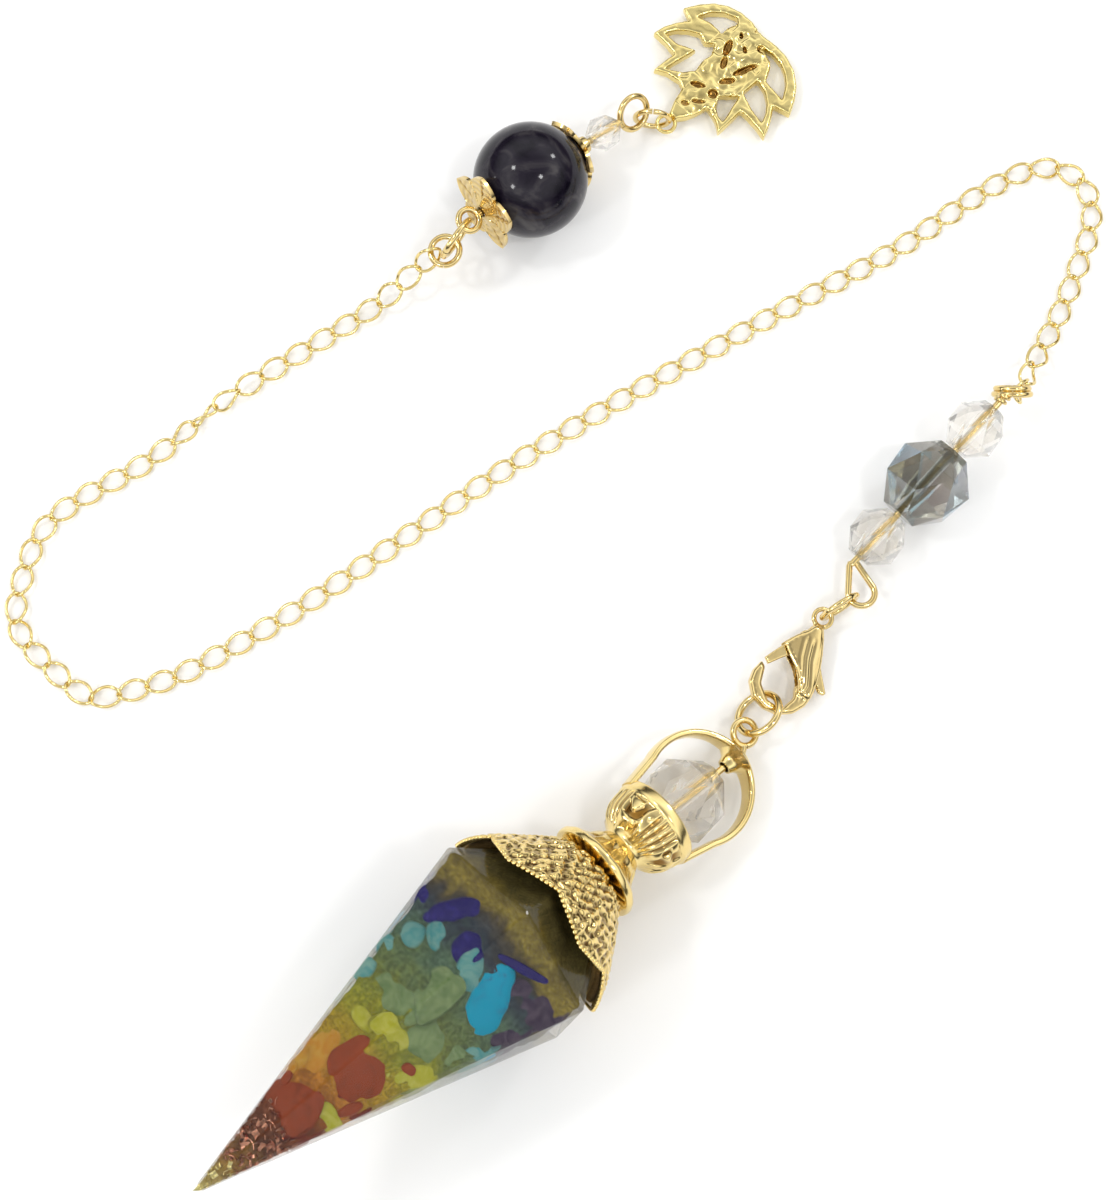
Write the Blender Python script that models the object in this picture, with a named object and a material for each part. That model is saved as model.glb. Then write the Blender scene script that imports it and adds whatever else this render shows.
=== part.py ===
"""A dowsing pendulum, laid flat as it rests on a table.

A six-sided resin point hangs from a flared cap and an urn cup with a hoop, then come a lobster
clasp, a pin with three cut beads, a curb chain, a round finger bead and a lotus charm.
Sizes are in millimetres and degrees. The model is built in metres, +Z up, with its origin
under the middle of its bounding box, on the table.
"""

import math

import bmesh
import bpy
import numpy as np
from mathutils import Matrix, Vector

MM = 0.001
GAP = 0.12  # running space between linked wires
SEAT = 0.3  # space between a piece and what it is glued or threaded against

# Where the two ends lie on the table, and which way each length runs (degrees from +X)
RIDGE_SPOT = (-3.9, -29.85)
FINGER_BEAD_SPOT = (-2.0, 36.3)
POINT_AZIMUTH = 39.8
PENDANT_RING_AZIMUTH = 54.0
CLASP_AZIMUTH = 63.1
STRAND_RING_AZIMUTH = 32.0
TEARDROP_AZIMUTH = 104.0
STRAND_AZIMUTH = 46.8
FINGER_PIN_AZIMUTH = 39.0
LINK_RING_AZIMUTH = 51.0
CHARM_RING_AZIMUTH = -5.0
CHARM_AZIMUTH = 45.9

# Resin point: a six-sided pyramid with a bevelled shoulder
RIDGE_RADIUS = 9.4
POINT_LENGTH = 31.1
TIP_RADIUS = 0.35
SHOULDER_HEIGHT = 5.0
SHOULDER_RADIUS = 5.6
POINT_SIDES = 6

# Filigree cap
CAP_RIM_HEIGHT = 2.3
CAP_TOP_HEIGHT = 9.0
CAP_RIM_RADIUS = 8.6
CAP_WALL = 0.55
CAP_LOBES = 6
CAP_NOTCH = 0.2
CAP_COLUMNS = 24

# Neck and urn cup
COLLAR_RADIUS = 4.3
NECK_RADIUS = 2.0
CUP_BULGE_RADIUS = 3.4
CUP_RIM_RADIUS = 3.95
NECK_LENGTH = 3.3
CUP_HEIGHT = 4.3
CUP_LIP = 0.5
CUP_SIDES = 16

# Hoop with the boss that its pin runs through
HOOP_RADIUS = 5.0
HOOP_WIDTH = 2.0
HOOP_TOP_WIDTH = 2.9
HOOP_THICKNESS = 0.65
HOOP_ROLL = 12.0
HOOP_ARC = 112.0
BOSS_RADIUS = 1.45
BOSS_DEPTH = 1.15

# Wires, by their radius
PIN_WIRE = 0.3
LOOP_WIRE = 0.28
RING_WIRE = 0.32
SMALL_RING_WIRE = 0.25
PIN_HOLE = 0.5

# Rings, by the radius of their wire's middle line
PENDANT_EYE_RADIUS = 1.08
PENDANT_EYE_SIDE = 1.2
PENDANT_EYE_ROLL = 20.0
PENDANT_RING_RADIUS = 1.95
PENDANT_RING_ROLL = -42.0
PENDANT_RING_RISE = 0.0
STRAND_RING_RADIUS = 1.75
STRAND_RING_LEAN = 0.0
CHAIN_RING_RADIUS = 1.27
CHAIN_RING_AZIMUTH = 40.0
CHAIN_RING_RISE = 10.0
LINK_RING_RADIUS = 1.88
LINK_RING_LEAN = -10.0
LINK_RING_LOW = 25.0
LINK_RING_EXIT = 250.0
CHARM_RING_RADIUS = 1.5

# Lobster clasp: body, hook, eye, slot and lever
CLASP_EYE_HEIGHT = 1.6
CLASP_EYE_RADIUS = 1.05
CLASP_EYE_HOLE = 0.55
CLASP_HOOK_THICKNESS = 1.1
CLASP_BODY_THICKNESS = 1.8
CLASP_EDGE = 0.22
CLASP_ROLL = 12.0
HOOK_BAR_HEIGHT = 1.8
SLOT_THICKNESS = 0.8
LEVER_THICKNESS = 0.56
RIVET_RADIUS = 0.35
RIVET_HOLE = 0.47
LEVER_HUB = 0.88

# Cut beads
HOOP_CRYSTAL_DIAMETER = 7.5
GREY_CRYSTAL_DIAMETER = 7.7
CLEAR_BEAD_DIAMETER = 5.2
SMALL_BEAD_DIAMETER = 3.3
BEAD_SPACE = 0.28

# Beaded strand's two loops
TEARDROP_LENGTH = 3.8
TEARDROP_RADIUS = 1.12
UPPER_LOOP_RADIUS = 1.5
UPPER_LOOP_AZIMUTH = 90.0
UPPER_LOOP_LEAN = 20.0
UPPER_LOOP_TURN = -120.0
UPPER_NECK = 0.9

# Finger bead, its caps and its pin
FINGER_BEAD_DIAMETER = 10.0
FINGER_PIN_DROP = 11.0
FINGER_CAP_NECK = 0.9
LOWER_LOOP_RADIUS = 0.95
CHARM_LOOP_RADIUS = 1.5
CHARM_LOOP_LEAN = 36.0
LOWER_LOOP_ROLL = 20.0
BEAD_CAP_WALL = 0.4
BEAD_CAP_PETALS = 6

# Curb chain
LINK_LENGTH = 2.96
LINK_WIDTH = 2.05
CHAIN_WIRE = 0.145
LINK_TWIST = 39.0
LINK_WELD = 0.05
LINK_POINTS = 10
CHAIN_WIRE_SIDES = 5
FIRST_LINK_TURN = 55.0
LAST_LINK_TURN = 158.0

# Lotus charm
CHARM_THICKNESS = 1.1
CHARM_EDGE = 0.16
CHARM_EYE_RADIUS = 1.05
CHARM_EYE_HOLE = 0.6
CHARM_EYE_HEIGHT = 1.0
CHARM_SIZE = 12.9

# The chain's way over the table: along X, along Y, lift from lying flat, roll about its length
CHAIN_ROUTE = (
    (42.0, 21.2, 0.8, 0.0),
    (44.1, 24.9, 0.0, 0.0),
    (46.0, 29.3, 0.0, 0.0),
    (47.7, 34.0, 0.0, 0.0),
    (47.7, 36.9, 0.0, 0.0),
    (46.3, 38.9, 0.0, 0.0),
    (44.1, 39.5, 0.0, 0.0),
    (41.5, 38.9, 0.0, 0.0),
    (37.0, 36.3, 0.0, 0.0),
    (30.4, 31.7, 0.0, 0.0),
    (21.4, 26.7, 0.0, 0.0),
    (12.5, 21.6, 0.0, 0.0),
    (3.8, 16.5, 0.0, 0.0),
    (-4.4, 11.3, 0.0, 0.0),
    (-12.7, 5.4, 0.0, 0.0),
    (-21.1, -0.5, 0.0, 0.0),
    (-27.5, -4.4, 0.0, 0.0),
    (-31.7, -6.7, 0.0, 0.0),
    (-36.4, -8.2, 0.0, 0.0),
    (-38.7, -8.8, 0.0, 0.0),
    (-40.7, -7.7, 0.0, 0.0),
    (-43.8, -4.8, 0.0, 0.0),
    (-45.5, -3.1, 0.0, 0.0),
    (-45.9, -1.0, 0.0, 0.0),
    (-45.3, 2.0, 0.0, 0.0),
    (-44.4, 5.2, 0.0, 0.0),
    (-43.0, 7.2, 0.0, 0.0),
    (-39.7, 9.5, 0.0, 0.0),
    (-36.0, 11.5, 0.0, 0.0),
    (-32.5, 14.2, 0.1, 12.0),
    (-29.4, 16.8, 0.72, 90.0),
    (-26.4, 19.1, 0.36, 158.0),
    (-22.0, 22.1, 0.0, 180.0),
    (-16.3, 25.8, 0.0, 180.0),
)

# Cap profile: share of its height from rim to top, share of its rim radius
CAP_SECTIONS = ((0.0, 1.0), (0.28, 0.89), (0.52, 0.75), (0.77, 0.6), (1.0, 0.45))

# Collar, crown, neck and cup, outside: share of its stretch, radius as a share of the named one
NECK_SECTIONS = (
    ("collar", 0.0, 0.9),
    ("collar", 0.1, 1.0),
    ("collar", 0.22, 0.97),
    ("collar", 0.4, 0.74),
    ("neck", 0.78, 1.22),
    ("neck", 1.0, 1.0),
)
CUP_SECTIONS = (
    ("neck", 0.12, 1.15),
    ("bulge", 0.26, 0.88),
    ("bulge", 0.4, 1.0),
    ("rim", 0.72, 0.95),
    ("rim", 0.88, 1.0),
    ("rim", 1.0, 0.98),
)

# Petals' outline of the charm, as shares of its size: along, across, bulge of the arc that follows
CHARM_OUTLINE = (
    (0.06, 0.03, 0.04),
    (0.265, 0.1, 0.0),
    (0.285, 0.152, -0.08),
    (0.222, 0.335, 0.03),
    (0.412, 0.315, -0.04),
    (0.43, 0.53, 0.09),
    (0.678, 0.414, 0.0),
    (0.716, 0.515, 0.22),
    (0.955, -0.025, 0.21),
    (0.64, -0.575, 0.0),
    (0.61, -0.448, 0.05),
    (0.385, -0.565, -0.03),
    (0.421, -0.314, 0.02),
    (0.19, -0.312, -0.08),
    (0.274, -0.127, 0.08),
    (0.06, -0.03, 0.0),
)
CHARM_HOLES = (
    ((0.742, 0.392, 0.14), (0.925, 0.19, 0.0), (0.897, 0.158, -0.1), (0.765, 0.19, -0.1)),
    (
        (0.49, 0.468, 0.1),
        (0.65, 0.29, 0.0),
        (0.62, 0.22, 0.0),
        (0.672, 0.17, 0.0),
        (0.59, 0.128, -0.1),
        (0.425, 0.125, 0.08),
        (0.292, 0.282, 0.0),
        (0.545, 0.226, 0.0),
        (0.487, 0.36, 0.0),
    ),
    (
        (0.885, -0.07, 0.2),
        (0.69, -0.455, 0.0),
        (0.716, -0.28, 0.0),
        (0.81, -0.236, -0.1),
        (0.857, -0.169, 0.0),
    ),
    ((0.4, -0.125, -0.05), (0.5, -0.225, 0.0), (0.276, -0.276, 0.1), (0.32, -0.18, 0.0)),
    ((0.54, -0.232, 0.0), (0.675, -0.24, 0.08), (0.605, -0.385, 0.06), (0.462, -0.474, 0.04)),
)

# Clasp outlines, eye centre at the origin: along (the eye end is +), across, bulge of the arc after
CLASP_OUTLINE = (
    (-0.7, 0.3, 0.0),
    (-1.7, 0.9, 0.04),
    (-3.6, 2.24, 0.0),
    (-4.45, 1.3, -0.1),
    (-7.35, -0.74, -0.36),
    (-8.6, 1.2, -0.16),
    (-6.2, 2.64, 0.0),
    (-5.85, 3.12, 0.1),
    (-7.9, 3.32, 0.14),
    (-9.44, 1.2, 0.12),
    (-8.6, -1.25, 0.14),
    (-5.3, -1.95, 0.04),
    (-0.7, -0.3, 0.0),
)
CLASP_BODY_OUTLINE = (
    (-0.95, 0.38, 0.0),
    (-1.7, 0.82, 0.04),
    (-3.6, 2.16, 0.0),
    (-4.38, 1.26, -0.1),
    (-6.9, -0.85, 0.0),
    (-7.0, -1.95, 0.05),
    (-5.3, -1.88, 0.04),
    (-0.95, -0.38, 0.0),
)
SLOT_OUTLINE = (
    (-1.25, 1.7, 0.0),
    (-5.0, 3.6, 0.0),
    (-6.35, -0.3, 0.0),
    (-6.35, -3.2, 0.0),
    (-2.4, -3.2, 0.0),
    (-1.25, -0.5, 0.0),
)
LEVER_OUTLINE = (
    (-2.1, 0.98, 0.02),
    (-5.42, 3.0, 0.0),
    (-5.82, 2.48, -0.03),
    (-3.7, 0.6, -0.04),
    (-5.95, -2.45, 0.0),
    (-5.93, -2.95, 0.3),
    (-5.5, -2.9, 0.0),
    (-2.2, -0.35, 0.0),
)
LEVER_PIVOT = (-2.35, 0.35)
HOOK_BAR_SPOT = (-9.0, 1.17)
HOOK_BAR_HALF = 0.5
HOOK_SHARE = 0.71  # the hook is what lies past this share of the way to its bar


def direction(azimuth, rise=0.0):
    """Unit vector at an azimuth, rising by an angle, both in degrees."""
    flat = math.cos(math.radians(rise))
    turn = math.radians(azimuth)
    return Vector((flat * math.cos(turn), flat * math.sin(turn), math.sin(math.radians(rise))))


def axes(origin, along, up):
    """Frame at an origin with its X along one vector and its Z as near another as it can be."""
    x = Vector(along).normalized()
    y = Vector(up).cross(x).normalized()
    z = x.cross(y)
    frame = Matrix((x, y, z)).transposed().to_4x4()
    frame.translation = Vector(origin)
    return frame


def material(name, colour, metallic, roughness, alpha=1.0):
    """Principled material with the piece's plain colour and finish."""
    made = bpy.data.materials.new(name)
    made.use_nodes = True
    shader = made.node_tree.nodes["Principled BSDF"]
    shader.inputs["Base Color"].default_value = (*colour, 1.0)
    shader.inputs["Metallic"].default_value = metallic
    shader.inputs["Roughness"].default_value = roughness
    shader.inputs["Alpha"].default_value = alpha
    made.diffuse_color = (*colour, 1.0)
    return made


def gold(name):
    """Pale gold plate for one piece."""
    return material(name, (0.83, 0.71, 0.38), 1.0, 0.22)


def glass(name, colour):
    """Clear cut glass or quartz for one piece."""
    return material(name, colour, 0.0, 0.05, 0.5)


def shape(name, points, faces, finish, smooth=None):
    """Object in its own frame from points in millimetres, with its faces turned outwards."""
    mesh = bpy.data.meshes.new(name)
    scaled = np.asarray(points, float).reshape(-1, 3) * MM
    mesh.from_pydata(scaled.tolist(), [], faces)
    sheet = bmesh.new()
    sheet.from_mesh(mesh)
    bmesh.ops.recalc_face_normals(sheet, faces=sheet.faces)
    sheet.to_mesh(mesh)
    sheet.free()
    mesh.materials.append(finish)
    made = bpy.data.objects.new(name, mesh)
    bpy.context.scene.collection.objects.link(made)
    if smooth is not None:
        mesh.shade_smooth()
        mesh.set_sharp_from_angle(angle=math.radians(smooth))
    return made


def ring_faces(rows, columns, closed):
    """Quads between rows of rings; open ends are capped, closed joins the last row to the first."""
    faces = []
    for row in range(rows if closed else rows - 1):
        here, ahead = row * columns, (row + 1) % rows * columns
        for column in range(columns):
            beside = (column + 1) % columns
            faces.append((here + column, here + beside, ahead + beside, ahead + column))
    if not closed:
        faces.append(tuple(reversed(range(columns))))
        faces.append(tuple((rows - 1) * columns + column for column in range(columns)))
    return faces


def sweep(name, path, up, section, closed, finish, smooth=40.0):
    """Bar whose section (across, up) is carried along a path, closed to a ring or capped."""
    path = np.asarray(path, float)
    if closed:
        ahead = np.roll(path, -1, axis=0) - np.roll(path, 1, axis=0)
    else:
        ahead = np.gradient(path, axis=0)
    ahead /= np.linalg.norm(ahead, axis=1, keepdims=True)
    side = np.cross(np.broadcast_to(np.asarray(up, float), path.shape), ahead)
    side /= np.linalg.norm(side, axis=1, keepdims=True)
    lift = np.cross(ahead, side)
    section = np.asarray(section, float)
    if section.ndim == 2:
        section = np.broadcast_to(section, (len(path), *section.shape))
    points = path[:, None] + section[..., :1] * side[:, None] + section[..., 1:] * lift[:, None]
    return shape(name, points, ring_faces(len(path), section.shape[1], closed), finish, smooth)


def round_section(radius, sides, start=0.0):
    """Points of a round wire's section."""
    turn = start + 2 * np.pi * np.arange(sides) / sides
    return np.stack([radius * np.cos(turn), radius * np.sin(turn)], axis=1)


def circle(radius, count, centre=(0.0, 0.0), start=0.0, sweep_angle=360.0):
    """Points of an arc in the XY plane; a full circle doesn't repeat its first point."""
    full = sweep_angle == 360.0
    share = np.arange(count) / (count if full else count - 1)
    turn = np.radians(start + sweep_angle * share)
    flat = np.zeros(count)
    return np.stack([centre[0] + radius * np.cos(turn), centre[1] + radius * np.sin(turn), flat], 1)


def wire_ring(name, radius, wire, finish, points=14, sides=6, centre=(0.0, 0.0)):
    """Round ring of wire in its own XY plane."""
    path = circle(radius, points, centre)
    return sweep(name, path, (0, 0, 1), round_section(wire, sides), True, finish, 60.0)


def wire(name, path, radius, finish, sides=6):
    """Straight or bent wire with flat ends, in its own XY plane."""
    return sweep(name, path, (0, 0, 1), round_section(radius, sides), False, finish, 60.0)


def lathe(name, profile, sides, finish, smooth=35.0):
    """Turned body about X from a closed profile of (along, radius) round its wall and bore."""
    turn = 2 * np.pi * np.arange(sides) / sides
    profile = np.asarray(profile, float)
    along = np.broadcast_to(profile[:, :1], (len(profile), sides))
    across = profile[:, 1:] * np.cos(turn)
    lift = profile[:, 1:] * np.sin(turn)
    points = np.stack([along, across, lift], axis=-1)
    return shape(name, points, ring_faces(len(profile), sides, True), finish, smooth)


def combine(body, tools, operation="UNION"):
    """Joins tools to a body, or cuts them from it, and removes them."""
    for tool in tools:
        step = body.modifiers.new("combine", "BOOLEAN")
        step.operation = operation
        step.solver = "EXACT"
        step.object = tool
        graph = bpy.context.evaluated_depsgraph_get()
        mesh = bpy.data.meshes.new_from_object(body.evaluated_get(graph))
        body.modifiers.remove(step)
        body.data = mesh
        bpy.data.objects.remove(tool)
    return body


def merged(body, distances=(0.03, 0.016, 0.008, 0.003)):
    """Welds points that a join left almost on each other, as far apart as keeps it closed."""
    for distance in distances:
        sheet = bmesh.new()
        sheet.from_mesh(body.data)
        bmesh.ops.remove_doubles(sheet, verts=sheet.verts, dist=distance * MM)
        bmesh.ops.dissolve_degenerate(sheet, edges=sheet.edges, dist=distance * MM)
        closed = all(len(edge.link_faces) == 2 for edge in sheet.edges)
        if closed:
            sheet.to_mesh(body.data)
        sheet.free()
        if closed:
            break
    return body


def placed(body, frame, root):
    """Puts a piece into its frame, given in millimetres, under the root."""
    world = frame.copy()
    world.translation = frame.translation * MM
    body.parent = root
    body.matrix_world = world
    return body


def facing(points):
    """1 for an outline that runs anticlockwise, -1 for one that runs clockwise."""
    x, y = points[:, 0], points[:, 1]
    return float(np.sign(np.sum(x * np.roll(y, -1) - y * np.roll(x, -1))))


def outline(corners, size=1.0, step=1.2):
    """Closed outline through corners; each row's bulge bends the side after it outwards."""
    corners = np.asarray(corners, float)
    outward = facing(corners)
    points = []
    for number, (x, y, bulge) in enumerate(corners):
        start = np.array((x, y)) * size
        chord = corners[(number + 1) % len(corners), :2] * size - start
        length = float(np.hypot(*chord))
        count = 1 if abs(bulge) < 0.01 else max(2, min(6, round(length / step)))
        share = np.arange(count)[:, None] / count
        normal = np.array((chord[1], -chord[0])) * outward
        points.append(start + chord * share + 4 * bulge * share * (1 - share) * normal)
    return np.concatenate(points)


def inset(points, distance):
    """Outline moved inwards by a distance, mitred at its corners."""
    ahead = np.roll(points, -1, axis=0) - points
    ahead /= np.linalg.norm(ahead, axis=1, keepdims=True)
    normal = np.stack([-ahead[:, 1], ahead[:, 0]], axis=1) * facing(points)
    before = np.roll(normal, 1, axis=0)
    dot = np.sum(normal * before, axis=1, keepdims=True)
    return points + distance * (normal + before) / np.maximum(1 + dot, 0.35)


def prism(name, flat, half, edge, finish, centre=0.0):
    """Plate of an outline with chamfered edges; a negative edge flares it, as a cutter needs."""
    bands = ((-half, edge), (-half + abs(edge), 0.0), (half - abs(edge), 0.0), (half, edge))
    if edge == 0.0:
        bands = (bands[0], bands[-1])
    rows = []
    for height, cut in bands:
        level = np.full((len(flat), 1), centre + height)
        rows.append(np.hstack([inset(flat, cut) if cut else flat, level]))
    return shape(name, np.concatenate(rows), ring_faces(len(bands), len(flat), False), finish)


def cut_bead(name, diameter, sides, finish, hole=PIN_HOLE, table=0.42, belt=0.36):
    """Cut bead about X: a table at each end, staggered belts of triangles, and a drilled hole."""
    half = diameter / 2
    flat = half * math.sqrt(1 - table**2)
    wide = half * math.sqrt(1 - belt**2)
    rows = (
        (-flat, hole, 0.0),
        (-flat, half * table, 0.0),
        (-half * belt, wide, 0.5),
        (half * belt, wide, 0.0),
        (flat, half * table, 0.5),
        (flat, hole, 0.5),
    )
    points = []
    for along, radius, shift in rows:
        turn = 2 * np.pi * (np.arange(sides) + shift) / sides
        points.append(np.stack([np.full(sides, along), radius * np.cos(turn), radius * np.sin(turn)], 1))
    faces = []
    for row, (_, _, shift) in enumerate(rows):
        after = (row + 1) % len(rows)
        lean = rows[after][2] - shift
        for column in range(sides):
            beside = (column + 1) % sides
            a, b = row * sides + column, row * sides + beside
            c, d = after * sides + column, after * sides + beside
            if lean == 0.0:
                faces.append((a, b, d, c))
            elif lean > 0.0:
                faces += [(a, b, c), (c, b, d)]
            else:
                faces += [(a, d, c), (a, b, d)]
    return shape(name, np.concatenate(points), faces, finish)


def lobed_shell(name, sections, lobes, columns, notch, wall, finish, hole=PIN_HOLE):
    """Thin flared shell about X whose rim is cut into pointed lobes, with a hole at its top.

    sections are the outer (along, radius) from rim to top. Lobes point away from the top, and
    the rim between them is drawn back by a share of the shell's depth, the notch.
    """
    outer = np.asarray(sections, float)
    ahead = np.gradient(outer, axis=0)
    ahead /= np.linalg.norm(ahead, axis=1, keepdims=True)
    inner = outer + wall * np.stack([ahead[:, 1], -ahead[:, 0]], axis=1)
    inner[-1] = (outer[-1, 0] - wall, outer[-1, 1] - wall * 0.5)
    marks = np.linspace(0.0, 1.0, len(outer))
    turn = 2 * np.pi * np.arange(columns) / columns
    phase = (turn * lobes / (2 * np.pi)) % 1.0
    away = 1 - np.abs(2 * phase - 1)
    rim = notch * (1 - away**0.8)
    rows = []
    for side, order in ((outer, marks), (inner, marks[::-1])):
        for mark in order:
            share = rim + (1 - rim) * mark
            rows.append((np.interp(share, marks, side[:, 0]), np.interp(share, marks, side[:, 1])))
    middle = len(outer)
    rows.insert(middle, (np.full(columns, inner[-1, 0]), np.full(columns, hole)))
    rows.insert(middle, (np.full(columns, outer[-1, 0]), np.full(columns, hole)))
    points = [np.stack([x, r * np.cos(turn), r * np.sin(turn)], 1) for x, r in rows]
    return shape(name, np.concatenate(points), ring_faces(len(rows), columns, True), finish, 35.0)


def resin_point():
    """Six-sided pyramid with its tip at -X, its ridge at 0 and a bevelled shoulder."""
    tip = -POINT_LENGTH
    blunt = TIP_RADIUS * POINT_LENGTH / RIDGE_RADIUS
    rows = ((tip + blunt, TIP_RADIUS), (0.0, RIDGE_RADIUS), (SHOULDER_HEIGHT, SHOULDER_RADIUS))
    turn = 2 * np.pi * np.arange(POINT_SIDES) / POINT_SIDES
    points = []
    for along, radius in rows:
        flat = np.full(POINT_SIDES, along)
        points.append(np.stack([flat, radius * np.sin(turn), radius * np.cos(turn)], 1))
    finish = material("smoky_resin", (0.55, 0.5, 0.42), 0.0, 0.06, 0.75)
    body = shape(
        "resin_point", np.concatenate(points), ring_faces(len(rows), POINT_SIDES, False), finish
    )
    soften = body.modifiers.new("soft_edges", "BEVEL")
    soften.width = 0.12 * MM
    soften.segments = 1
    return body


def cap_profile():
    """The filigree cap's outer line as (along, radius)."""
    height = CAP_TOP_HEIGHT - CAP_RIM_HEIGHT
    return [(CAP_RIM_HEIGHT + height * up, CAP_RIM_RADIUS * out) for up, out in CAP_SECTIONS]


def neck_start():
    """Where the collar begins, just past the cap."""
    return CAP_TOP_HEIGHT + SEAT


def cup_rim():
    """Where the cup's rim ends along the point's axis."""
    return neck_start() + NECK_LENGTH + CUP_HEIGHT


def crystal_centre():
    """Middle of the hoop's bead, seated in the cup."""
    floor = cup_rim() - 2 * CUP_LIP
    return floor + SEAT + HOOP_CRYSTAL_DIAMETER / 2 * math.sqrt(1 - 0.42**2)


def hoop_centre():
    """Middle of the hoop, whose legs reach down to the cup's rim."""
    return cup_rim() + HOOP_RADIUS * 0.86


def boss_top():
    """Outer end of the boss at the hoop's crown."""
    return hoop_centre() + HOOP_RADIUS + 0.05


def cup_hoop():
    """Collar, neck and urn cup turned in one, with the hoop and its boss cast on."""
    finish = gold("cup_gold")
    radii = {"collar": COLLAR_RADIUS, "neck": NECK_RADIUS, "bulge": CUP_BULGE_RADIUS}
    radii["rim"] = CUP_RIM_RADIUS
    start, middle, rim = neck_start(), neck_start() + NECK_LENGTH, cup_rim()
    outside = [(start + NECK_LENGTH * up, radii[part] * out) for part, up, out in NECK_SECTIONS]
    outside += [(middle + CUP_HEIGHT * up, radii[part] * out) for part, up, out in CUP_SECTIONS]
    mouth = CUP_RIM_RADIUS - CUP_LIP
    floor = rim - 2 * CUP_LIP
    inside = [(rim, mouth), (floor, mouth - CUP_LIP), (floor, PIN_HOLE), (start, PIN_HOLE)]
    body = lathe("cup_hoop", outside + inside, CUP_SIDES, finish)

    centre, line = hoop_centre(), HOOP_RADIUS - HOOP_THICKNESS / 2
    arc = circle(line, 17, (centre, 0.0), -HOOP_ARC, 2 * HOOP_ARC)
    end = np.array((rim - CUP_LIP, CUP_RIM_RADIUS - 0.42 * CUP_LIP, 0.0))
    path = np.vstack([end * (1, -1, 1), arc, end])
    turn = np.arctan2(path[:, 1], path[:, 0] - centre)
    widening = np.clip(1 - np.abs(turn) / 0.7, 0.0, 1.0)
    half_width = (HOOP_WIDTH + (HOOP_TOP_WIDTH - HOOP_WIDTH) * widening) / 2
    half = HOOP_THICKNESS / 2
    corners = np.array(((-1, 0.45), (-1, -0.45), (0, -1), (1, -0.45), (1, 0.45), (0, 1)))
    section = np.stack(
        [np.broadcast_to(corners[:, 0] * half, (len(path), 6)), half_width[:, None] * corners[:, 1]], -1
    )
    hoop = sweep("hoop", path, (0, 0, 1), section, False, finish)
    hoop.rotation_euler.x = math.radians(HOOP_ROLL)

    top = boss_top()
    inner = centre + HOOP_RADIUS - HOOP_THICKNESS
    boss_rows = (
        (top, PIN_HOLE + 0.3),
        (inner, BOSS_RADIUS),
        (inner - BOSS_DEPTH * 0.35, BOSS_RADIUS),
        (inner - BOSS_DEPTH, PIN_HOLE + 0.3),
        (inner - BOSS_DEPTH, PIN_HOLE),
        (top, PIN_HOLE),
    )
    boss = lathe("boss", boss_rows, 12, finish)
    bore = wire("bore", ((inner - 2, 0, 0), (top + 2, 0, 0)), PIN_HOLE, finish, 12)
    combine(hoop, [bore], "DIFFERENCE")
    combine(body, [hoop, boss])
    return merged(body)


def eye_pin():
    """Pin through the hoop's boss, its bead and the neck, with a round eye bent to one side."""
    finish = gold("pin_gold")
    reach = hoop_centre() + HOOP_RADIUS + PENDANT_EYE_RADIUS + LOOP_WIRE + 2 * GAP
    spread = reach - hoop_centre()
    along = hoop_centre() + math.sqrt(spread**2 - PENDANT_EYE_SIDE**2)
    centre = np.array((along, PENDANT_EYE_SIDE, 0.0))
    foot = np.array((boss_top() + 0.3, 0.0, 0.0))
    toward = foot - centre
    rim = centre + toward / np.linalg.norm(toward) * PENDANT_EYE_RADIUS
    path = np.array(((neck_start() + 0.5, 0, 0), (boss_top() - 0.6, 0, 0), foot, rim))
    pin = wire("hoop_pin", path, PIN_WIRE, finish)
    eye = wire_ring("eye", PENDANT_EYE_RADIUS, LOOP_WIRE, finish, 14, 6, centre[:2])
    combine(pin, [eye])
    return merged(pin), circle(PENDANT_EYE_RADIUS, 72, centre[:2])


def clasp(root, frame):
    """Lobster clasp's body with hook, eye, slot and rivet, and the lever on that rivet."""
    finish = gold("clasp_gold")
    body = prism("clasp_body", outline(CLASP_OUTLINE), CLASP_HOOK_THICKNESS / 2, CLASP_EDGE, finish)
    core = prism("core", outline(CLASP_BODY_OUTLINE), CLASP_BODY_THICKNESS / 2, CLASP_EDGE, finish)
    ring_middle = (CLASP_EYE_RADIUS + CLASP_EYE_HOLE) / 2
    eye = wire_ring("eye", ring_middle, CLASP_EYE_RADIUS - ring_middle, finish, 14, 8)
    combine(body, [core, eye])
    hole = prism("hole", circle(CLASP_EYE_HOLE, 14)[:, :2], CLASP_BODY_THICKNESS, 0.0, finish)
    slot = prism("slot", outline(SLOT_OUTLINE), SLOT_THICKNESS / 2, 0.0, finish)
    combine(body, [hole, slot], "DIFFERENCE")
    rivet = prism("rivet", circle(RIVET_RADIUS, 12, LEVER_PIVOT)[:, :2], CLASP_BODY_THICKNESS / 2 - 0.1, 0.0, finish)
    combine(body, [rivet])
    placed(merged(body), frame, root)

    lever_gold = gold("lever_gold")
    flat = outline(LEVER_OUTLINE) - np.array(LEVER_PIVOT)
    lever = prism("clasp_lever", flat, LEVER_THICKNESS / 2, 0.08, lever_gold)
    hub = prism("hub", circle(LEVER_HUB, 14)[:, :2], LEVER_THICKNESS / 2, 0.0, lever_gold)
    bore = prism("bore", circle(RIVET_HOLE, 14)[:, :2], LEVER_THICKNESS, 0.0, lever_gold)
    combine(lever, [hub])
    combine(lever, [bore], "DIFFERENCE")
    placed(merged(lever), frame @ Matrix.Translation((*LEVER_PIVOT, 0.0)), root)


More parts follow.
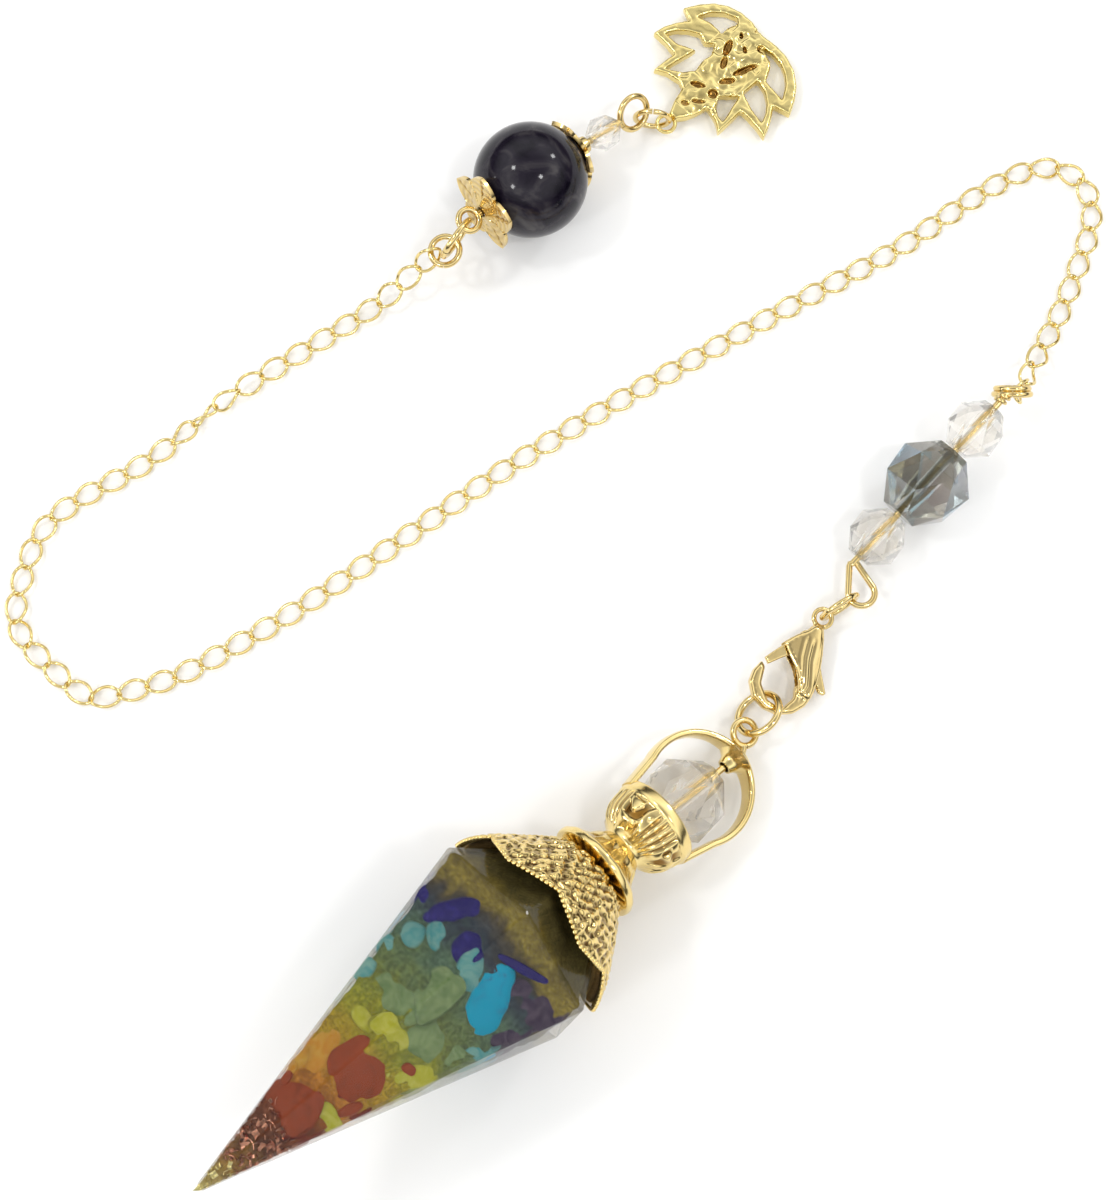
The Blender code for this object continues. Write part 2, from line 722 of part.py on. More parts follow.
def strand_beads():
    """The strand's beads: name, diameter, sides, distance of its middle from the grey one's."""
    apart = (GREY_CRYSTAL_DIAMETER + CLEAR_BEAD_DIAMETER) / 2 * math.sqrt(1 - 0.42**2) + BEAD_SPACE
    clear = (0.88, 0.85, 0.82)
    return (
        ("clear_bead_lower", CLEAR_BEAD_DIAMETER, 7, -apart, clear),
        ("grey_crystal", GREY_CRYSTAL_DIAMETER, 6, 0.0, (0.45, 0.47, 0.44)),
        ("clear_bead_upper", CLEAR_BEAD_DIAMETER, 7, apart, clear),
    )


def teardrop_line(apex, drop, across):
    """Middle line of the teardrop loop: an arc round its far end and two legs to its apex."""
    middle = apex + drop * (TEARDROP_LENGTH - TEARDROP_RADIUS)
    turns = np.radians(np.linspace(-115, 115, 11))
    arc = [middle + TEARDROP_RADIUS * (drop * math.cos(turn) + across * math.sin(turn)) for turn in turns]
    neck = across * (LOOP_WIRE * 1.05)
    return np.array([tuple(point) for point in (apex - neck, *arc, apex + neck)])


def strand(root, ring_centre, ring_line_points):
    """Pin through three cut beads, its teardrop loop on the ring that it is pulled away from."""
    finish = gold("strand_gold")
    apart = strand_beads()[2][3]
    tilt = math.degrees(math.asin((GREY_CRYSTAL_DIAMETER - CLEAR_BEAD_DIAMETER) / 2 / apart))
    end = apart + CLEAR_BEAD_DIAMETER / 2 * math.sqrt(1 - 0.42**2) + BEAD_SPACE + LOOP_WIRE + GAP
    along = direction(STRAND_AZIMUTH, tilt)
    toward = direction(STRAND_RING_AZIMUTH)
    hold = ring_centre + toward * (STRAND_RING_RADIUS - SMALL_RING_WIRE - LOOP_WIRE - 2 * GAP)
    apex = hold + toward * TEARDROP_RADIUS
    apex += direction(TEARDROP_AZIMUTH) * (TEARDROP_LENGTH - TEARDROP_RADIUS)
    apex.z = GREY_CRYSTAL_DIAMETER / 2 - end * math.sin(math.radians(tilt))
    drop = hold + toward * TEARDROP_RADIUS - apex
    drop.normalize()
    across = drop.cross(Vector((0, 0, 1))).normalized()
    line = teardrop_line(apex, drop, across)
    shift = toward * pull(line, ring_line_points, toward, LOOP_WIRE + SMALL_RING_WIRE + GAP)
    apex += shift
    frame = axes(apex + along * end, along, along.cross(Vector((0, 0, 1))).cross(along))
    for name, diameter, sides, place, colour in strand_beads():
        bead = cut_bead(name, diameter, sides, glass(name + "_glass", colour))
        placed(bead, frame @ Matrix.Translation((place, 0, 0)), root)

    local = frame.inverted()
    line = teardrop_line(apex, drop, across)
    normal = local.to_3x3() @ drop.cross(across)
    drop_loop = sweep(
        "loop", in_world(local, line), normal, round_section(LOOP_WIRE, 6), True, finish, 60.0
    )
    exit_spot = Vector((end + UPPER_NECK, 0, 0))
    face = direction(UPPER_LOOP_AZIMUTH, UPPER_LOOP_LEAN)
    upper_frame = axes((0, 0, 0), face.cross(Vector((0, 0, 1))), face)
    turn = math.radians(UPPER_LOOP_TURN)
    hang = upper_frame @ Vector((math.cos(turn), math.sin(turn), 0.0)) * UPPER_LOOP_RADIUS
    upper_frame.translation = frame @ exit_spot - hang
    upper_line = in_world(upper_frame, circle(UPPER_LOOP_RADIUS, 16))
    ring = sweep(
        "ring",
        in_world(local, upper_line),
        local.to_3x3() @ face,
        round_section(LOOP_WIRE, 6),
        True,
        finish,
        60.0,
    )
    pin = wire("strand_pin", ((-end, 0, 0), (0, 0, 0), (end, 0, 0), exit_spot), PIN_WIRE, finish)
    combine(pin, [drop_loop, ring])
    placed(merged(pin), frame, root)
    return upper_frame


def bead_cap(name, flare, neck, petals, notch, finish):
    """Petal cap over the finger bead, which follows the bead, flares at its rim and has a neck."""
    ball = FINGER_BEAD_DIAMETER / 2 + SEAT * 0.4
    rows = []
    for angle, out in ((36.0, flare), (27.0, flare * 0.35), (18.0, 0.0), (10.0, 0.0)):
        reach = ball + BEAD_CAP_WALL + out
        rows.append((reach * math.cos(math.radians(angle)), reach * math.sin(math.radians(angle))))
    rows.append((rows[-1][0] + neck, PIN_HOLE + BEAD_CAP_WALL * 0.6))
    return lobed_shell(name, rows, petals, petals * 4, notch, BEAD_CAP_WALL * 0.7, finish)


def finger_bead(root):
    """Bead with two petal caps and a small cut bead on a pin. Returns its loops' middle lines."""
    radius = FINGER_BEAD_DIAMETER / 2
    along = direction(FINGER_PIN_AZIMUTH, -FINGER_PIN_DROP)
    up = along.cross(Vector((0, 0, 1))).cross(along)
    frame = axes((*FINGER_BEAD_SPOT, radius), along, up)
    turn = np.radians(np.linspace(8.0, 172.0, 10))
    ball = [(-radius * math.cos(t), radius * math.sin(t)) for t in turn]
    ball = [(ball[0][0], PIN_HOLE), *ball, (ball[-1][0], PIN_HOLE)]
    stone = material("dark_stone", (0.045, 0.04, 0.06), 0.0, 0.12)
    placed(lathe("dark_bead", ball, 16, stone, 40.0), frame, root)
    finish = gold("cap_gold")
    upper = bead_cap("finger_cap_upper", 0.0, FINGER_CAP_NECK, BEAD_CAP_PETALS, 0.3, finish)
    placed(upper, frame, root)
    lower = bead_cap("finger_cap_lower", 0.9, 0.1, BEAD_CAP_PETALS - 1, 0.4, finish)
    placed(lower, frame @ Matrix.Rotation(math.pi, 4, "Z"), root)
    stack = radius + SEAT * 0.4 + BEAD_CAP_WALL + 0.15
    small_half = SMALL_BEAD_DIAMETER / 2 * math.sqrt(1 - 0.42**2)
    small = cut_bead("small_bead", SMALL_BEAD_DIAMETER, 6, glass("small_glass", (0.88, 0.85, 0.82)))
    threaded = stack + FINGER_CAP_NECK + BEAD_SPACE + small_half
    placed(small, frame @ Matrix.Translation((threaded, 0, 0)), root)

    charm_eye = threaded + small_half + BEAD_SPACE + LOOP_WIRE + CHARM_LOOP_RADIUS
    lower_eye = -(stack + LOOP_WIRE + LOWER_LOOP_RADIUS)
    finish = gold("finger_pin_gold")
    ends = ((lower_eye + LOWER_LOOP_RADIUS, 0, 0), (0, 0, 0), (charm_eye - CHARM_LOOP_RADIUS, 0, 0))
    pin = wire("finger_pin", ends, PIN_WIRE, finish)
    lines = []
    loops = []
    for place, radius, roll in (
        (lower_eye, LOWER_LOOP_RADIUS, LOWER_LOOP_ROLL),
        (charm_eye, CHARM_LOOP_RADIUS, 90.0 - CHARM_LOOP_LEAN),
    ):
        loop = wire_ring("loop", radius, LOOP_WIRE, finish, 12, 6, (place, 0.0))
        loop.rotation_euler.x = math.radians(roll)
        loops.append(loop)
        turned = frame @ Matrix.Rotation(math.radians(roll), 4, "X")
        lines.append(in_world(turned, circle(radius, 72, (place, 0.0))))
    combine(pin, loops)
    placed(merged(pin), frame, root)
    return lines


def ring_frame(centre, along, roll):
    """Frame of a ring whose plane holds a direction and is rolled about it from flat."""
    up = Vector((0, 0, 1)) - along * along.z
    return axes(centre, along, up) @ Matrix.Rotation(math.radians(roll), 4, "X")


def in_world(frame, points):
    """Points of a frame as world points, in millimetres."""
    frame = np.array(frame)
    return np.asarray(points, float) @ frame[:3, :3].T + frame[:3, 3]


def pull(line, fixed, along, need):
    """How far a line goes along a direction before it comes too near the line it is linked to."""
    shifts = np.arange(0.0, 2.5, 0.02)
    way = np.array(along)
    gaps = []
    for shift in shifts:
        apart = (line + shift * way)[:, None] - fixed[None]
        gaps.append(float(np.linalg.norm(apart, axis=2).min()))
        if gaps[-1] < need and max(gaps) >= need:
            return float(shifts[len(gaps) - 2])
    return float(shifts[int(np.argmax(gaps[:20]))])


def linked_ring(name, root, centre, along, roll, sizes, fixed, fixed_wire, way):
    """Ring through a held line: pulled along a way until their wires nearly touch.

    sizes are the ring's radius and its wire. Returns the ring's frame and its middle line.
    """
    radius, thick = sizes
    frame = ring_frame(centre, along, roll)
    line = in_world(frame, circle(radius, 72))
    frame.translation += way * pull(line, fixed, way, thick + fixed_wire + GAP)
    placed(wire_ring(name, radius, thick, gold(name + "_gold")), frame, root)
    return frame, in_world(frame, circle(radius, 72))


def spaced(corners, count):
    """Points at even steps along straight lines through corners."""
    corners = np.asarray(corners, float)
    length = np.concatenate([[0.0], np.cumsum(np.linalg.norm(np.diff(corners, axis=0), axis=1))])
    marks = np.linspace(0, length[-1], count)
    return np.stack([np.interp(marks, length, column) for column in corners.T], axis=1)


def spline(points, step):
    """Smooth curve through points, as rows at an even step of length."""
    points = np.asarray(points, float)
    ends = np.vstack([2 * points[0] - points[1], points, 2 * points[-1] - points[-2]])
    fine = []
    for number in range(len(points) - 1):
        a, b, c, d = ends[number : number + 4]
        share = np.linspace(0, 1, 24, endpoint=False)[:, None]
        fine.append(
            0.5 * (2 * b + (c - a) * share + (2 * a - 5 * b + 4 * c - d) * share**2)
            + 0.5 * (3 * b - a - 3 * c + d) * share**3
        )
    fine = np.vstack([*fine, points[-1:]])
    gaps = np.linalg.norm(np.diff(fine[:, :3], axis=0), axis=1)
    length = np.concatenate([[0.0], np.cumsum(gaps)])
    count = max(2, round(length[-1] / step))
    marks = np.linspace(0, length[-1], count + 1)
    return np.stack([np.interp(marks, length, fine[:, column]) for column in range(4)], axis=1)


def link_path(centre, ahead, up):
    """One curb link's wire line: an oval whose plane turns along its length."""
    half = (LINK_LENGTH - 2 * CHAIN_WIRE) / 2
    width = (LINK_WIDTH - 2 * CHAIN_WIRE) / 2
    turn = 2 * np.pi * np.arange(LINK_POINTS) / LINK_POINTS
    along = half * np.cos(turn)
    twist = np.radians(LINK_TWIST) * along / half
    side = np.cross(up, ahead)
    reach = width * np.sin(turn)
    across = (reach * np.cos(twist))[:, None] * side
    lift = (reach * np.sin(twist))[:, None] * up
    line = np.asarray(centre) + along[:, None] * ahead + across + lift
    normal = np.cos(twist)[:, None] * up - np.sin(twist)[:, None] * side
    return line, normal


def lying_height(roll):
    """Height of a link's middle when it rests on the table at a roll about its length."""
    line, _ = link_path((0.0, 0.0, 0.0), np.array((1.0, 0.0, 0.0)), np.array((0.0, 0.0, 1.0)))
    turned = line[:, 2] * math.cos(math.radians(roll)) + line[:, 1] * math.sin(math.radians(roll))
    return float(np.abs(turned).max()) + CHAIN_WIRE + 0.04


def held_end(contact, tangent, onward, held_wire, sign):
    """End of the chain's route: its spot and the roll that turns the link square to a wire.

    onward points from the wire into the chain; sign is -1 for the first link, 1 for the last.
    """
    ahead = (onward if sign < 0 else -onward).normalized()
    side = Vector((0, 0, 1)).cross(ahead).normalized()
    up = ahead.cross(side)
    lean = math.degrees(math.atan2(tangent.dot(up), tangent.dot(side)))
    roll = sign * LINK_TWIST - lean - 90
    bite = 3 * CHAIN_WIRE + held_wire + GAP - LINK_WELD / 2
    return contact - onward.normalized() * bite, roll


def near(roll, wanted):
    """The same roll, by half turns, that lies nearest a wanted one."""
    return roll + 180.0 * round((wanted - roll) / 180.0)


def chain(root, first_frame, last_frame):
    """Curb chain as one body: alternate links are made apart and welded where they touch."""
    pitch = LINK_LENGTH - 4 * CHAIN_WIRE + LINK_WELD
    ends = []
    for frame, radius, turn, row, sign, wanted in (
        (first_frame, UPPER_LOOP_RADIUS, FIRST_LINK_TURN, CHAIN_ROUTE[0], -1, -60.0),
        (last_frame, CHAIN_RING_RADIUS, LAST_LINK_TURN, CHAIN_ROUTE[-1], 1, 140.0),
    ):
        turn = math.radians(turn)
        spoke = frame.to_3x3() @ Vector((math.cos(turn), math.sin(turn), 0.0))
        tangent = frame.to_3x3() @ Vector((-math.sin(turn), math.cos(turn), 0.0))
        contact = frame.translation + spoke * radius
        spot, roll = held_end(contact, tangent, Vector(row[:3]) - contact, LOOP_WIRE, sign)
        ends.append((*spot, near(roll, wanted)))
    flat = lying_height(0.0)
    route = [ends[0], *((x, y, lift + flat, roll) for x, y, lift, roll in CHAIN_ROUTE), ends[1]]
    rows = spline(route, pitch)
    line = rows[:, :3]
    line[:, 2] = np.maximum(line[:, 2], [lying_height(turn) for turn in rows[:, 3]])
    roll = np.radians(rows[:, 3])
    gold_wire = gold("chain_gold")
    sets = ([], [])
    for number in range(len(line) - 1):
        centre = (line[number] + line[number + 1]) / 2
        ahead = line[number + 1] - line[number]
        ahead /= np.linalg.norm(ahead)
        side = np.cross((0.0, 0.0, 1.0), ahead)
        side /= np.linalg.norm(side)
        flat_up = np.cross(ahead, side)
        angle = (roll[number] + roll[number + 1]) / 2
        up = np.cos(angle) * flat_up + np.sin(angle) * side
        sets[number % 2].append(link_path(centre, ahead, up))
    halves = []
    for name, links in zip(("chain", "other_links"), sets, strict=True):
        made = [
            sweep(name, path, normal, round_section(CHAIN_WIRE, CHAIN_WIRE_SIDES), True, gold_wire, 80.0)
            for path, normal in links
        ]
        sheet = bmesh.new()
        for piece in made:
            sheet.from_mesh(piece.data)
            bpy.data.objects.remove(piece)
        mesh = bpy.data.meshes.new(name)
        sheet.to_mesh(mesh)
        sheet.free()
        mesh.materials.append(gold_wire)
        half = bpy.data.objects.new(name, mesh)
        bpy.context.scene.collection.objects.link(half)
        halves.append(half)
    body = combine(halves[0], [halves[1]])
    body.data.shade_smooth()
    body.data.set_sharp_from_angle(angle=math.radians(80.0))
    return placed(merged(body), Matrix.Identity(4), root)


def lotus_charm(root, eye_spot):
    """Openwork lotus plate, resting on its far petals, with a round eye at its raised stem."""
    finish = gold("charm_gold")
    half = CHARM_THICKNESS / 2
    body = prism("lotus_charm", outline(CHARM_OUTLINE, CHARM_SIZE), half, CHARM_EDGE, finish)
    middle = (CHARM_EYE_RADIUS + CHARM_EYE_HOLE) / 2
    eye = wire_ring("eye", middle, CHARM_EYE_RADIUS - middle, finish, 14, 6)
    cutters = [
        prism("opening", outline(rows, CHARM_SIZE), half + 0.02, -CHARM_EDGE, finish)
        for rows in CHARM_HOLES
    ]
    combine(body, [eye])
    hole = prism("hole", circle(CHARM_EYE_HOLE, 14)[:, :2], CHARM_THICKNESS, 0.0, finish)
    combine(body, [*cutters, hole], "DIFFERENCE")
    dip = math.degrees(math.asin((eye_spot.z - half) / CHARM_SIZE))
    placed(merged(body), axes(eye_spot, direction(CHARM_AZIMUTH, -dip), (0, 0, 1)), root)


def pendant_rest():
    """Angle at which the point lies, its ridge and the hoop's bead both on the table."""
    reach = crystal_centre()
    bead = HOOP_CRYSTAL_DIAMETER / 2
    return math.acos(bead / math.hypot(RIDGE_RADIUS, reach)) - math.atan2(reach, RIDGE_RADIUS)


def pendant(root):
    """Resin point, cap, cup with hoop, bead and pin. Returns the eye's middle line."""
    tilt = pendant_rest()
    along = direction(POINT_AZIMUTH, -math.degrees(tilt))
    up = along.cross(Vector((0, 0, 1))).cross(along)
    frame = axes((*RIDGE_SPOT, RIDGE_RADIUS * math.cos(tilt)), along, up)
    placed(resin_point(), frame, root)
    cap = lobed_shell(
        "filigree_cap", cap_profile(), CAP_LOBES, CAP_COLUMNS, CAP_NOTCH, CAP_WALL, gold("filigree_gold")
    )
    placed(cap, frame @ Matrix.Rotation(math.pi / CAP_LOBES, 4, "X"), root)
    placed(cup_hoop(), frame, root)
    crystal = cut_bead("hoop_crystal", HOOP_CRYSTAL_DIAMETER, 7, glass("hoop_glass", (0.88, 0.85, 0.82)))
    placed(crystal, frame @ Matrix.Translation((crystal_centre(), 0, 0)), root)
    pin, eye = eye_pin()
    rolled = frame @ Matrix.Rotation(math.radians(PENDANT_EYE_ROLL), 4, "X")
    placed(pin, rolled, root)
    return in_world(rolled, eye)


def front_half(root):
    """Pendant, its ring, the clasp, the strand and its rings. Returns the upper loop's frame."""
    eye = pendant(root)
    toward = direction(PENDANT_RING_AZIMUTH, PENDANT_RING_RISE)
    centre = Vector(eye.mean(axis=0)) + toward * PENDANT_RING_RADIUS
    lean = math.radians(PENDANT_RING_ROLL)
    centre.z = PENDANT_RING_RADIUS * abs(math.sin(lean)) + RING_WIRE + 0.02
    level = direction(PENDANT_RING_AZIMUTH)
    sizes = (PENDANT_RING_RADIUS, RING_WIRE)
    ring, line = linked_ring(
        "pendant_ring", root, centre, toward, PENDANT_RING_ROLL, sizes, eye, LOOP_WIRE, level
    )

    drop = (HOOK_BAR_HEIGHT - CLASP_EYE_HEIGHT) / -HOOK_BAR_SPOT[0]
    along = direction(CLASP_AZIMUTH, -math.degrees(math.asin(drop)))
    frame = axes((0, 0, 0), along, (0, 0, 1)) @ Matrix.Rotation(math.radians(CLASP_ROLL), 4, "X")
    bar = ring.translation + level * (PENDANT_RING_RADIUS - RING_WIRE - HOOK_BAR_HALF - 3 * GAP)
    bar.z = HOOK_BAR_HEIGHT
    frame.translation = bar - frame.to_3x3() @ Vector((*HOOK_BAR_SPOT, 0.0))
    flat = spaced(outline(CLASP_OUTLINE, 1.0, 0.5), 260)
    flat = flat[flat[:, 0] < HOOK_BAR_SPOT[0] * HOOK_SHARE]
    half = CLASP_HOOK_THICKNESS / 2 - CLASP_EDGE / 2
    hook = np.concatenate([np.c_[flat, np.full(len(flat), z)] for z in (-half, 0.0, half)])
    frame.translation += level * pull(in_world(frame, hook), line, level, RING_WIRE + GAP)
    clasp(root, frame)

    eye = in_world(frame, circle((CLASP_EYE_RADIUS + CLASP_EYE_HOLE) / 2, 72))
    toward = direction(STRAND_RING_AZIMUTH)
    low = STRAND_RING_RADIUS * math.cos(math.radians(STRAND_RING_LEAN)) + SMALL_RING_WIRE
    lift = low + GAP / 2 - frame.translation.z
    centre = frame.translation + toward * math.sqrt(STRAND_RING_RADIUS**2 - lift**2)
    centre.z = low + GAP / 2
    sizes = (STRAND_RING_RADIUS, SMALL_RING_WIRE)
    eye_wire = (CLASP_EYE_RADIUS - CLASP_EYE_HOLE) / 2
    ring, line = linked_ring(
        "strand_ring", root, centre, toward, 90 - STRAND_RING_LEAN, sizes, eye, eye_wire, toward
    )
    return strand(root, ring.translation, line)


def finger_half(root):
    """Finger bead with the rings on both its loops and the charm. Returns the chain ring's frame."""
    lower, upper = finger_bead(root)
    toward = direction(LINK_RING_AZIMUTH, LINK_RING_LOW)
    centre = Vector(lower.mean(axis=0)) - toward * LINK_RING_RADIUS
    sizes = (LINK_RING_RADIUS, LOOP_WIRE)
    roll = 90 - LINK_RING_LEAN
    ring, line = linked_ring("link_ring", root, centre, toward, roll, sizes, lower, LOOP_WIRE, -toward)
    turn = math.radians(LINK_RING_EXIT)
    way = ring.to_3x3() @ Vector((math.cos(turn), math.sin(turn), 0.0))
    toward = direction(CHAIN_RING_AZIMUTH, CHAIN_RING_RISE)
    centre = ring.translation - toward * CHAIN_RING_RADIUS
    sizes = (CHAIN_RING_RADIUS, LOOP_WIRE)
    chain_ring, _ = linked_ring("chain_ring", root, centre, toward, 0.0, sizes, line, LOOP_WIRE, way)

    toward = direction(CHARM_RING_AZIMUTH)
    middle = Vector(upper.mean(axis=0))
    low = CHARM_RING_RADIUS + SMALL_RING_WIRE + GAP / 2
    rise = min(middle.z - low, CHARM_RING_RADIUS * 0.8)
    centre = middle + toward * math.sqrt(CHARM_RING_RADIUS**2 - rise**2)
    centre.z = low
    sizes = (CHARM_RING_RADIUS, SMALL_RING_WIRE)
    ring, line = linked_ring("charm_ring", root, centre, toward, 90.0, sizes, upper, LOOP_WIRE, toward)
    drop = ring.translation.z - CHARM_EYE_HEIGHT
    spot = ring.translation + toward * math.sqrt(CHARM_RING_RADIUS**2 - drop**2)
    spot.z = CHARM_EYE_HEIGHT
    middle = (CHARM_EYE_RADIUS + CHARM_EYE_HOLE) / 2
    eye = in_world(axes(spot, (1, 0, 0), (0, 0, 1)), circle(middle, 72))
    need = SMALL_RING_WIRE + CHARM_EYE_RADIUS - middle + GAP
    spot += toward * pull(eye, line, toward, need)
    lotus_charm(root, spot)
    return chain_ring


def build():
    """Makes every piece from the pendant to the charm and centres the whole on its origin."""
    for item in list(bpy.data.objects):
        bpy.data.objects.remove(item)
    root = bpy.data.objects.new("pendulum", None)
    bpy.context.scene.collection.objects.link(root)

    clasp_end = front_half(root)
    chain_end = finger_half(root)
    chain(root, clasp_end, chain_end)

    bpy.context.view_layer.update()
    graph = bpy.context.evaluated_depsgraph_get()
    corners = []
    for item in bpy.data.objects:
        if item.type == "MESH":
            seen = item.evaluated_get(graph)
            points = np.array([tuple(point.co) for point in seen.data.vertices])
            corners.append(in_world(seen.matrix_world, points))
    corners = np.concatenate(corners)
    low, high = corners.min(axis=0), corners.max(axis=0)
    root.location = (-(low[0] + high[0]) / 2, -(low[1] + high[1]) / 2, -low[2])


build()
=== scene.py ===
"""Looks of a dowsing pendulum that lies on a table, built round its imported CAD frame.

Sizes are in millimetres and degrees in the part's own design frame, whose finger bead stands at
FINGER_BEAD_SPOT. Each sub-assembly is a class: its fields are its sizes, and its build method
makes its meshes, dresses them and lets them ride on their CAD body.
"""

import logging
import math
from collections.abc import Callable
from dataclasses import dataclass
from enum import Enum

import bmesh
import bpy
import numpy as np
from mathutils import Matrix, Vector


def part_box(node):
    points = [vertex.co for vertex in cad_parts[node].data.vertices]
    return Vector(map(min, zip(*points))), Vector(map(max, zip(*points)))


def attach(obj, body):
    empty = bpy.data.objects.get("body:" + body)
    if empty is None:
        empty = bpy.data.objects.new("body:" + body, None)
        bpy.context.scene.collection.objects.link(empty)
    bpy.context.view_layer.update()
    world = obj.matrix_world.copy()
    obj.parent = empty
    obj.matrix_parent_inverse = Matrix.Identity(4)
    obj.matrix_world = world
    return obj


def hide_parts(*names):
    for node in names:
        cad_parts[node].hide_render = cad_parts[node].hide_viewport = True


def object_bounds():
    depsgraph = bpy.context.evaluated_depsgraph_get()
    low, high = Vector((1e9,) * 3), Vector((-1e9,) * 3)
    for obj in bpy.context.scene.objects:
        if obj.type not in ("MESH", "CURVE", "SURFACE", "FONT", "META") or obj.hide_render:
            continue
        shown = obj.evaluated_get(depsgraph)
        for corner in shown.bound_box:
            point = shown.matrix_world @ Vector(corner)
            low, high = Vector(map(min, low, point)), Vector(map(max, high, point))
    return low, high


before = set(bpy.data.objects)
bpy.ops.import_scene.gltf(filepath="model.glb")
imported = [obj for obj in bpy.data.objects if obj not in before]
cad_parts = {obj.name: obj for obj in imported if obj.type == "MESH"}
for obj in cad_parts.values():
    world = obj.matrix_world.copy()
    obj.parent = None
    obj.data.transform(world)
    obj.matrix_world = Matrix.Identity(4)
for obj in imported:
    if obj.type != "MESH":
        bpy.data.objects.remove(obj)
CAD_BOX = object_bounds()

LOG = logging.getLogger("pendulum")
MM = 0.001
FINGER_BEAD_SPOT = (-2.0, 36.3, 5.0)
BOX_MARGIN = 0.004
Array = np.ndarray


def design_shift() -> Array:
    """Where the design frame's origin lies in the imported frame, in millimetres."""
    low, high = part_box("dark_bead")
    middle = (np.array(low) + np.array(high)) / 2 / MM
    return middle - np.array(FINGER_BEAD_SPOT)


SHIFT = design_shift()


class Body(Enum):
    """The CAD bodies that a piece can ride on."""

    PENDULUM = "pendulum"
    LEVER = "lever"


@dataclass(frozen=True)
class Axes:
    """A piece's own frame: its origin and its X, Y and Z as rows."""

    origin: Array
    rows: Array

    def at(self, points: Array) -> Array:
        """Points of this frame in the design frame: origin plus each coordinate along its row."""
        return self.origin + np.asarray(points, float) @ self.rows

    def moved(self, along: float, across: float = 0.0, up: float = 0.0) -> "Axes":
        """The frame carried along its own rows."""
        return Axes(self.at((along, across, up)), self.rows)

    def rolled(self, degrees: float) -> "Axes":
        """The frame turned about its own X."""
        x, y, z = self.rows
        cos, sin = math.cos(math.radians(degrees)), math.sin(math.radians(degrees))
        return Axes(self.origin, np.array((x, cos * y + sin * z, cos * z - sin * y)))

    def reversed(self) -> "Axes":
        """The frame turned half round about its own Z."""
        return Axes(self.origin, self.rows * np.array(((-1.0,), (-1.0,), (1.0,))))


def heading(azimuth: float, rise: float = 0.0) -> Array:
    """Unit vector at an azimuth from +X, rising by an angle, both in degrees."""
    turn, lift = math.radians(azimuth), math.radians(rise)
    return np.array((math.cos(lift) * math.cos(turn), math.cos(lift) * math.sin(turn), math.sin(lift)))


def axes_along(origin: Array, along: Array, up: tuple = (0.0, 0.0, 1.0)) -> Axes:
    """Frame whose X runs along a vector and whose Z is as near another as it can be.

    Args:
        origin: The frame's origin in the design frame.
        along: The way of its X.
        up: The way that its Z leans to.

    Returns:
        The frame, right-handed.
    """
    x = unit(np.asarray(along, float))
    y = unit(np.cross(up, x))
    return Axes(np.asarray(origin, float), np.array((x, y, np.cross(x, y))))


@dataclass
class Sheet:
    """Points and faces of one closed surface, with how far down each point lies in its relief, which
    paints patina and shade on gold plate.
    """

    points: Array
    faces: list
    hollow: Array


def surface(grid: Array, round_rows: bool = False, hollow: Array | None = None) -> Sheet:
    """Quads over a grid of points whose columns close on themselves.

    Args:
        grid: Points by row and column.
        round_rows: Whether the last row joins the first; otherwise a pole closes each end.
        hollow: 0 on ridges to 1 in recesses, by row and column.

    Returns:
        The closed sheet.
    """
    rows, columns = grid.shape[:2]
    number = np.arange(rows * columns).reshape(rows, columns)
    here = number if round_rows else number[:-1]
    ahead = np.roll(number, -1, 0) if round_rows else number[1:]
    quads = np.stack([here, np.roll(here, -1, 1), np.roll(ahead, -1, 1), ahead], -1).reshape(-1, 4)
    faces = quads.tolist()
    points = grid.reshape(-1, 3)
    depth = np.zeros(len(points)) if hollow is None else np.asarray(hollow, float).reshape(-1)
    if not round_rows:
        poles = np.stack([grid[0].mean(0), grid[-1].mean(0)])
        first, last = number[0], number[-1]
        start = np.full(columns, len(points))
        faces += np.stack([start, np.roll(first, -1), first], -1).tolist()
        faces += np.stack([start + 1, last, np.roll(last, -1)], -1).tolist()
        points = np.vstack([points, poles])
        depth = np.append(depth, [depth[0], depth[-1]])
    return Sheet(points, faces, depth)


def swept(path: Array, up: Array, radius: float, sides: int, closed: bool) -> Array:
    """Grid of a wire along a path, or along each of many: a circle in the plane of its side and lift.

    Args:
        path: Points of the wire's middle line, on the last axis but one.
        up: The normal of the plane that the path lies in, one or by point.
        radius: The wire's radius.
        sides: Points round the wire.
        closed: Whether the wire's end joins its start.

    Returns:
        Points by place along the path and by turn round it.
    """
    ends = np.roll(path, -1, -2) - np.roll(path, 1, -2) if closed else np.gradient(path, axis=-2)
    way = unit(ends)
    side = unit(np.cross(np.broadcast_to(np.asarray(up, float), path.shape), way))
    lift = np.cross(way, side)
    turn = wheel(sides)[:, None]
    ring = np.cos(turn) * side[..., None, :] + np.sin(turn) * lift[..., None, :]
    return path[..., None, :] + radius * ring


def tube(path: Array, radius: float, up: Array, sides: int = 14, closed: bool = False) -> Sheet:
    """Wire along one path, as a closed sheet."""
    return surface(swept(path, up, radius, sides, closed), closed)


def unit(vectors: Array) -> Array:
    """Vectors along the last axis, each of length 1."""
    return vectors / np.linalg.norm(vectors, axis=-1, keepdims=True)


def held(value: Array) -> Array:
    """Values held between 0 and 1."""
    return np.clip(value, 0, 1)


def bell(value: Array, width: float) -> Array:
    """Bell curve: 1 where a value is 0, and under a half from a width on either side."""
    return np.exp(-((value / width) ** 2))


def wheel(count: int) -> Array:
    """Even angles once round, in radians."""
    return 2 * np.pi * np.arange(count) / count


